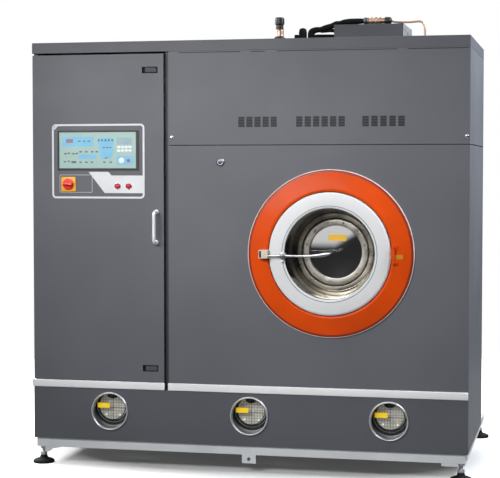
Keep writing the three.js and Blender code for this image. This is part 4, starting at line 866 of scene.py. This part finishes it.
def door_ring():
    ring = at_port([
        (252, -4, 0.4), (252, -24, 3), (245, -30, 4), (219, -32.2, 6), (192, -33, 3), (187, -30, 1.5),
        (187, -26, 0.5), (243, -26), (248, -22), (248, -4, 0.4)])
    on_door("door_ring_shell", ring, "white", "white", "door_ring")
    x, y, low, high = HINGE_X, HINGE_Y, PORT_Z - 22, PORT_Z + 22
    web = box((x - 9.5, x), (y - 4, y + 6), (low, high), 0.8, 1.5, "z")
    lug = turned([(4.4, low), (5.6, low), (5.6, high), (4.4, high)], x, y, SMALL, 0.4, "z")
    on_door("hinge_leaf", (web, lug), "orange", "orange")
    groove = at_port([(195, -33.3), (197.4, -33.2), (197.4, -32.0), (195, -32.2)], 0.2)
    on_door("door_ring_groove", groove, "screen_dark")
    u, v = PIVOT_X, PIVOT_Z
    post = rod(u, v, 15, (-45.7, -28), MID)
    pin = rod(u, v, 5, (-57, -28))
    head = turned([(0, -58.9), (5, -58.5, 1), (8, -56.4, 1), (8, -54.3, 0.3), (0, -54.3)], u, v, SMALL, 0)
    bolt = hexagon(u - 2, v - 26, 6, (-37.5, -32), 1.0)
    on_door("lever_post", (post, pin, head, bolt), "lever_steel", "chrome")


def dish():
    """Deep dish with a stepped seat, and the clamp ring that holds the glass on it."""
    lip, step, floor = -25.7, 123.0, 143.0
    shell = at_port([
        (199, lip, 0.3), (185, lip, 1.5), (182, -14, 4), (168, 104, 8), (163.5, step, 3), (143, step, 1.5),
        (143, floor), (107, floor), (107, 146), (146, 146), (146, 126), (166, 126, 3), (172, 104, 8),
        (186, -14, 4), (188, -22.7, 1), (199, -22.7, 0.3)], 0.5)
    on_door("dish_shell", shell, "dish_steel", "steel", "door_dish")
    flange = at_port([
        (143.4, step - 0.8, 0.3), (160, step - 0.8, 1), (161.6, step + 0.4), (143.4, step + 0.4)], 0.2)
    on_door("dish_flange", flange, "flange_steel", "steel")
    ring = at_port([
        (111, 125.4, 2), (136.5, 125.4, 2.5), (139, 129, 1.5), (139, 142.7, 0.4), (128.3, 142.7),
        (128.3, 134.4), (111, 134.4, 0.4)], 0.3)
    on_door("clamp_ring_face", ring, "clamp_steel", "steel", "clamp_ring")
    head = [(0, 122.4, 0), (2.5, 122.6, 0.8), (4.6, 124, 1), (5, 125.5, 0.2), (0, 125.5, 0)]
    places = [polar(PORT_X, PORT_Z, 125, radians(15 + 30 * k)) for k in range(12)]
    bolts = [turned(head, u, v, SMALL, 0.4) for u, v in places]
    on_door("clamp_bolts", bolts, "clamp_steel", "steel")
    groove = at_port([(139.4, 128.6, 0.2), (142.6, 128.6, 0.2), (142.6, 130), (139.4, 130)], 0.1)
    on_door("clamp_groove", groove, "seam")


def pane():
    """The glass, and a blank label that follows its face."""
    front = [(r, dome(r)) for r in range(0, 112, 6)]
    back = [(112, 134.7), (128, 134.7, 0.5), (128, 142.7, 0.8), (0, 142.7)]
    # painted shade: the pane is near black and nearly opaque, for the dark drum behind it
    on_door("door_pane", at_port(front + back, 0), "dark_glass", "glass", "door_glass")
    sections = []
    us = [-30 + 74 * i / 16 for i in range(17)]
    for j in range(9):
        v = 47 + 26 * j / 8
        face = [(PORT_X + u, dome(hypot(u, v)) - 0.35) for u in us]
        rear = [(PORT_X + u, dome(hypot(u, v)) + 0.2) for u in reversed(us)]
        sections.append((face + rear, PORT_Z + v))
    # painted light: the label glows a little
    on_door("pane_label", loft(sections, "z"), "plate_yellow", "switch_yellow")


def dome(radius):
    """How far back the pane's slightly domed face lies at a radius."""
    return 129.7 + 5.0 * (radius / 111) ** 2


def door_hinge():
    x, y = HINGE_X, HINGE_Y
    wedge = [(PORT_X + 272, -0.3), (PORT_X + 272, -25.7), (PORT_X + 300, -19.3), (PORT_X + 300, -0.3)]
    parts = [plate(wedge, (PORT_Z - 40, PORT_Z + 40), "z")]
    for hs in ((PORT_Z - 40, PORT_Z - 22.3), (PORT_Z + 22.3, PORT_Z + 40)):
        parts.append(box((x, PORT_X + 276), (y + 2, y + 9), hs, 2.5, 2, "z"))
        parts.append(rod(x, y, 5.2, hs, SMALL, 2.5, "z"))
    parts.append(rod(x, y, 4, (PORT_Z - 38, PORT_Z + 38), SMALL, 0.5, "z"))
    piece("hinge_bracket", parts, "orange", "orange", "loading_door_hinge")
    tag = plate([(629, -27.0), (629, -26.3), (661, -19.0), (661, -19.7)], (901, 918), "z")
    piece("hinge_tag", tag, "tag_yellow", "switch_yellow")


LEVER = (                       # along the lever: X and Z from the door's middle, half height, half depth
    (-258, -8, 3.6, 3.0), (-256, -8, 4.0, 3.6), (-214, -8, 4.2, 3.8), (-196, -8, 6.4, 4.0),
    (-150, -8.4, 5.2, 3.9), (-95, -8.2, 5.4, 3.9), (-62, -6.8, 6.8, 4.0), (-36, -4.4, 8.4, 4.0),
    (-16, -1.2, 8.6, 4.0), (-2, 1.8, 6.6, 3.7), (8, 4.4, 4.0, 3.0), (13, 6.2, 1.6, 1.4),
)
LEVER_Y = -50.0


def lever():
    """Bright lever: a tongue to the left of its pivot, then a rounded bar that widens into a grip."""
    sections = []
    for x, z, high, deep in spline(LEVER, 5):
        outline = [(LEVER_Y + deep * cos(a), PORT_Z + z + high * sin(a)) for a in turn(24)]
        sections.append((outline, PORT_X + x))
    hub = rod(PIVOT_X, PIVOT_Z, 12, (-54.1, -45.9), MID, 2.0)
    blade = loft(sections, "x")
    piece("lever_blade", (blade, hub), "lever_steel", "chrome", "door_lever", "door_lever")


def keeper():
    left, right = PORT_X - 290, PORT_X - 252
    low, high = PORT_Z - 19.5, PORT_Z + 14.5
    dress("lever_keeper", "cream", 1.5)
    face = box((left + 1, right - 0.5), (low, high), (-56.2, -54.2), 0.6, 2)
    rib = box((left + 1, left + 9), (low, high), (-54.4, -30), 0.4)
    piece("keeper_face", (face, rib), "cream", "black_plastic")
    inset = box((left + 3.5, left + 12), (low + 3, high - 3), (-56.6, -56.1), 0.2, 0.8)
    piece("keeper_cap", inset, "black", "black_plastic")
    dot = turned([
        (0, -56.9), (3.4, -56.8, 0.5), (4, -56.1, 0.3), (0, -56.1)], left + 25, PORT_Z - 2.5, SMALL, 0)
    # painted light: the dot glows a little
    piece("keeper_dot", dot, "plate_yellow")


# ---- Drum, tub and drive

DRUM_RADIUS = 288


def drum():
    tub = at_port([
        (236, 24), (239, 24), (239, 67, 2), (320, 67, 6), (320, 560, 6), (36, 560, 0.5), (36, 557, 0.5),
        (317, 557, 4), (317, 70, 4), (236, 70, 2)])
    piece("tub_shell", tub, "steel", "steel", "tub")
    front = at_port([
        (218, 78), (220.5, 78), (224.5, 84, 2), (DRUM_RADIUS, 84, 3), (DRUM_RADIUS, 93, 0.3),
        (285.5, 93, 0.3), (285.5, 86.5, 2), (218, 86.5, 2)])
    back = at_port([
        (DRUM_RADIUS, 497), (DRUM_RADIUS, 505, 3), (22.3, 505), (22.3, 502.5), (120, 502.5, 4),
        (140, 496, 5), (240, 496, 5), (256, 502.5, 4), (285.5, 502.5, 2), (285.5, 497)], 0.3)
    wall = perforated(DRUM_RADIUS, ys=(93, 497), thick=2.5, hole=6.5, columns=72, rows=16)
    lifters = [lifter(90 * k) for k in range(4)]
    piece("drum_shell", (front, back, wall, *lifters), "steel", "steel", "drum", "drum")


def under_lifter(angle):
    return abs((degrees(angle) + 45) % 90 - 45) < 7.6


def lifter(tilt):
    """Rib with a rounded crest along the drum's wall."""
    foot_line = [-34 + 68 * k / 6 for k in range(7)]
    base_line = [(u, -sqrt(286.5 ** 2 - u ** 2), 0.5) for u in foot_line]
    outline = fillet(base_line + [(13, -226, 10), (-13, -226, 10)], 1, 6)
    c, s = cos(radians(tilt)), sin(radians(tilt))
    return plate([(PORT_X + u * c - v * s, PORT_Z + u * s + v * c) for u, v in outline], (87, 502))


def drive():
    shaft = at_port([
        (0, 491, 0), (22, 491), (22, 505.3, 0.3), (150, 505.3), (150, 513, 2), (46, 527, 3), (22, 527),
        (22, 846, 2), (0, 846, 0)], steps=MID)
    piece("main_shaft", shaft, "steel", "steel", "drum_shaft", "drum")
    piece("drum_pulley", pulley(165, PORT_X, PORT_Z, 21, 9), "casting", "casting", body="drum")
    spindle = rod(MOTOR_X, MOTOR_Z, 12, (796, 1000))
    small = pulley(55, MOTOR_X, MOTOR_Z, 11, 0)
    piece("motor_pulley_wheel", (small, spindle), "steel", "steel", "motor_pulley", "motor_rotor")
    housing = at_port([
        (23, 560.3), (107, 560.3), (107, 574, 3), (62, 586, 8), (54, 725, 3), (62, 731, 2), (62, 745, 1.5),
        (23, 745)], steps=MID)
    piece("bearing_body", housing, "casting", "casting", "bearing_housing")
    dress("motor", "motor", 1.0)
    dress("drive_belt", "rubber", 0.6)


def pulley(radius, u, v, bore, hollow):
    """Grooved wheel; its web lies back from both rims by hollow."""
    return turned([
        (bore, 800 + hollow), (radius - 24, 800 + hollow, 2), (radius - 20, 800), (radius, 800),
        (radius, 807.7, 0.5), (radius - 12, 807.7, 0.5), (radius - 12, 826.3, 0.5), (radius, 826.3, 0.5),
        (radius, 834), (radius - 22, 834), (bore, 834 - hollow)], u, v, MID)


# ---- On the roof


def stub():
    """Vent stub: a cup on the cap, a neck and a bright collar."""
    def upright(profile):
        return turned(profile, STUB_X, ROOF_Y, MID, axis="z")

    base_cup = upright([(0, ROOF, 0), (38, ROOF), (38, 1804, 2), (24, 1832, 4), (18, 1836), (0, 1836, 0)])
    neck = upright([
        (0, 1862, 0), (17, 1862, 0.5), (16.5, 1886, 2), (20.5, 1890, 2), (20.5, 1913, 2), (17, 1918.6, 2),
        (0, 1918.8, 0)])
    piece("stub_base", (base_cup, neck), "black", "black_plastic", "vent_stub")
    collar = upright([
        (0, 1834, 0), (17.5, 1834, 0.5), (17.8, 1840), (17.2, 1843), (17.2, 1858), (17.8, 1861),
        (17.4, 1865, 0.5), (0, 1865, 0)])
    piece("stub_collar", collar, "copper", "copper")


def along(*places):
    """Points of a pipe: X, and the height above the cap."""
    return [(x, ROOF_Y, ROOF + up) for x, up in places]


def hoses():
    """Pipes with uneven lagging, and the fittings by which they leave the cap."""
    upper = along((217, 2), (216, 34), (219, 54), (236, 63), (258, 65), (280, 71), (306, 79), (326, 87),
                  (344, 91), (360, 94), (384, 96), (420, 97), (454, 97))
    radii = [14, 15, 15, 13, 11.5, 13.5, 12, 13, 9.5, 12, 13, 12.5, 10]
    middle = along((258, 58), (280, 59), (302, 60), (323, 58))
    lower = along((206, 30), (236, 36), (280, 36), (323, 35))
    stub = turned([(0, ROOF, 0), (17, ROOF), (17.5, 1852, 4), (15, 1866, 5), (6, 1871, 4), (0, 1871.3, 0)],
                  180, ROOF_Y, SMALL, axis="z")
    shoe = box((140, 240), (ROOF_Y - 20, ROOF_Y + 20), (ROOF, ROOF + 12), 3, 6, "z")
    nip = turned([(0, ROOF + 8, 0), (10, ROOF + 8), (10, 1840, 2), (7, 1843), (0, 1843, 0)],
                 153, ROOF_Y, SMALL, axis="z")
    pipes = [sweep(upper, radii, 20), sweep(middle, 8), sweep(lower, 8)]
    piece("pipe_insulation", (*pipes, stub, shoe, nip), "foam", "foam", "insulated_pipe")


def copper_line():
    """Fittings on the pipe's end, and the bare line that goes on from there."""
    def fitting(radius, start, end, bevel=0.6):
        return rod(ROOF_Y, PIPE_Z, radius, (start, end), MID, bevel, "x")

    fittings = [fitting(15, 461, 468, 1.5), fitting(11, 467, 474), fitting(16.5, 474, 484, 2),
                fitting(12, 483, 494), fitting(16.5, 494, 504, 2), fitting(12, 503, 512),
                fitting(15.5, 512, 522, 2), fitting(12, 521, 536)]
    path = along((560, 95), (578, 91), (604, 89), (646, 89), (682, 91), (697, 85), (705, 66), (706, 42),
                 (706, 0))
    line = sweep(path, 4.5)
    piece("copper_fittings", (*fittings, line), "copper", "copper", "copper_line")
    clamp = turned([(9, 446), (15, 446, 1.5), (16, 451, 2), (15, 461, 1.5), (9, 461)],
                   ROOF_Y, PIPE_Z, MID, axis="x")
    cap = turned([(0, 535, 0), (15, 535, 2), (16, 543, 3), (15, 560, 4), (6, 566, 3), (0, 566.4, 0)],
                 ROOF_Y, PIPE_Z, MID, axis="x")
    piece("line_clamp", clamp, "steel_dark", "chrome")
    piece("line_cap", cap, "black", "black_plastic")


def box_side():
    """Bare end sheet of the roof box, and a dark disc on it: painted shade where the sheet has a hole."""
    end = plate(slab((300, 606), (1799.5, 1877.5), 1), (620.1, 621.2), "x")
    piece("box_end", end, "zinc", "zinc")
    # painted shade: a dark disc where the sheet has a hole
    piece("box_hole_shade", rod(452, 1845, 12, (621.0, 621.6), SMALL, 0.1, "x"), "seam")


# ---- Stage


def stage():
    """Pale floor that reads white to the camera and keeps the machine's soft shadow."""
    bm = bmesh.new()
    bmesh.ops.create_circle(bm, cap_ends=True, segments=96, radius=FLOOR_RADIUS)
    made = as_object("floor", bm, Matrix.Identity(4))
    material = bpy.data.materials.new("floor")
    material.use_nodes = True
    made.data.materials.append(material)
    graph = Graph(material.node_tree)
    shader = graph.tree.nodes["Principled BSDF"].inputs
    path = graph.node("ShaderNodeLightPath").outputs
    graph.feed(shader["Base Color"], graph.blend(path["Is Camera Ray"], FLOOR_UNSEEN, FLOOR_SEEN))
    graph.feed(shader["Roughness"], 0.9)
    graph.feed(shader["Emission Color"], (1, 1, 1, 1))
    place = graph.node("ShaderNodeTexCoord").outputs["Object"]
    oval = graph.node("ShaderNodeMapping", {"Vector": place, "Scale": FLOOR_OVAL}).outputs["Vector"]
    far = graph.node("ShaderNodeVectorMath", {0: oval}, operation="LENGTH").outputs["Value"]
    level = graph.span(far, 0.05, 1.0, 0.85, 1.4)
    direct = graph.maths("MAXIMUM", path["Is Camera Ray"], path["Is Transmission Ray"])
    mirrored = graph.span(path["Is Glossy Ray"], 0, FLOOR_MIRRORED, 0, 1)
    seen = graph.maths("MAXIMUM", direct, mirrored)
    graph.feed(shader["Emission Strength"], graph.maths("MULTIPLY", level, seen))


def world():
    """White to the camera; soft fill for the object, which mirrors a white room with a darker floor."""
    scene = bpy.context.scene
    scene.world = bpy.data.worlds.new("studio")
    scene.world.use_nodes = True
    graph = Graph(scene.world.node_tree)
    background = graph.tree.nodes["Background"].inputs
    graph.feed(background["Color"], (1, 1, 1, 1))
    place = graph.node("ShaderNodeTexCoord").outputs["Generated"]
    direction = graph.node("ShaderNodeSeparateXYZ", {"Vector": place}).outputs
    horizon = graph.maths("MULTIPLY_ADD", direction["X"], 0.6, 0.1, clamp=True)
    above = graph.maths("SUBTRACT", direction["Z"], horizon)
    room = graph.span(above, 0.03, 1.0, -0.03, 0.02)
    path = graph.node("ShaderNodeLightPath").outputs
    reflected = graph.maths("MAXIMUM", path["Is Glossy Ray"], path["Is Transmission Ray"])
    lighting = graph.span(reflected, FILL, room, 0, 1)
    graph.feed(background["Strength"], graph.span(path["Is Camera Ray"], lighting, 1, 0, 1))


def lamp(name, place, target, size, power, spread=180, tint=(1, 1, 1)):
    """Area lamp aimed at the target, in metres and watts; spread in degrees."""
    data = bpy.data.lights.new(name, "AREA")
    data.shape, data.size, data.size_y, data.energy = "RECTANGLE", size[0], size[1], power
    data.color = tint
    data.spread = radians(spread)
    made = placed(name, data)
    made.location = place
    made.rotation_euler = (Vector(target) - Vector(place)).to_track_quat("-Z", "Y").to_euler()


def lamps():
    lamp("key", (-0.8, -2.9, 2.05), (0.2, -0.52, 1.0), (2.2, 0.8), 18, 84)
    lamp("side", (2.4, -0.3, 2.9), (0.9, 0, 1.5), (1.4, 1.4), 46, 100, (0.9, 0.95, 1.0))
    lamp("left", (-3.6, 0.3, 2.9), (-0.9, 0, 1.3), (1.4, 1.4), 70, 100)
    lamp("rear", (0, 3.4, 3.0), (0, 0, 1.0), (2.4, 1.6), 85)


def camera():
    """The photo's camera, as solved from the cabinet's edges and the door's circles."""
    data = bpy.data.cameras.new("camera")
    data.sensor_width, data.lens = 36.0, 107.505
    data.clip_end = 100
    made = placed("camera", data)
    made.location = (1.38499, -6.53610, 1.25956)
    made.rotation_euler = (radians(90 - 2.641), 0, radians(12.742))
    bpy.context.scene.camera = made


def main():
    bpy.context.scene.view_settings.view_transform = "Standard"
    camera()
    for build in (base, cabinet, vents, screws, lock, sights, tanks, control_door, surround, door_ring, dish,
                  pane, door_hinge, lever, keeper, drum, drive, stub, hoses, copper_line, box_side):
        build()
    stage()
    world()
    lamps()


main()
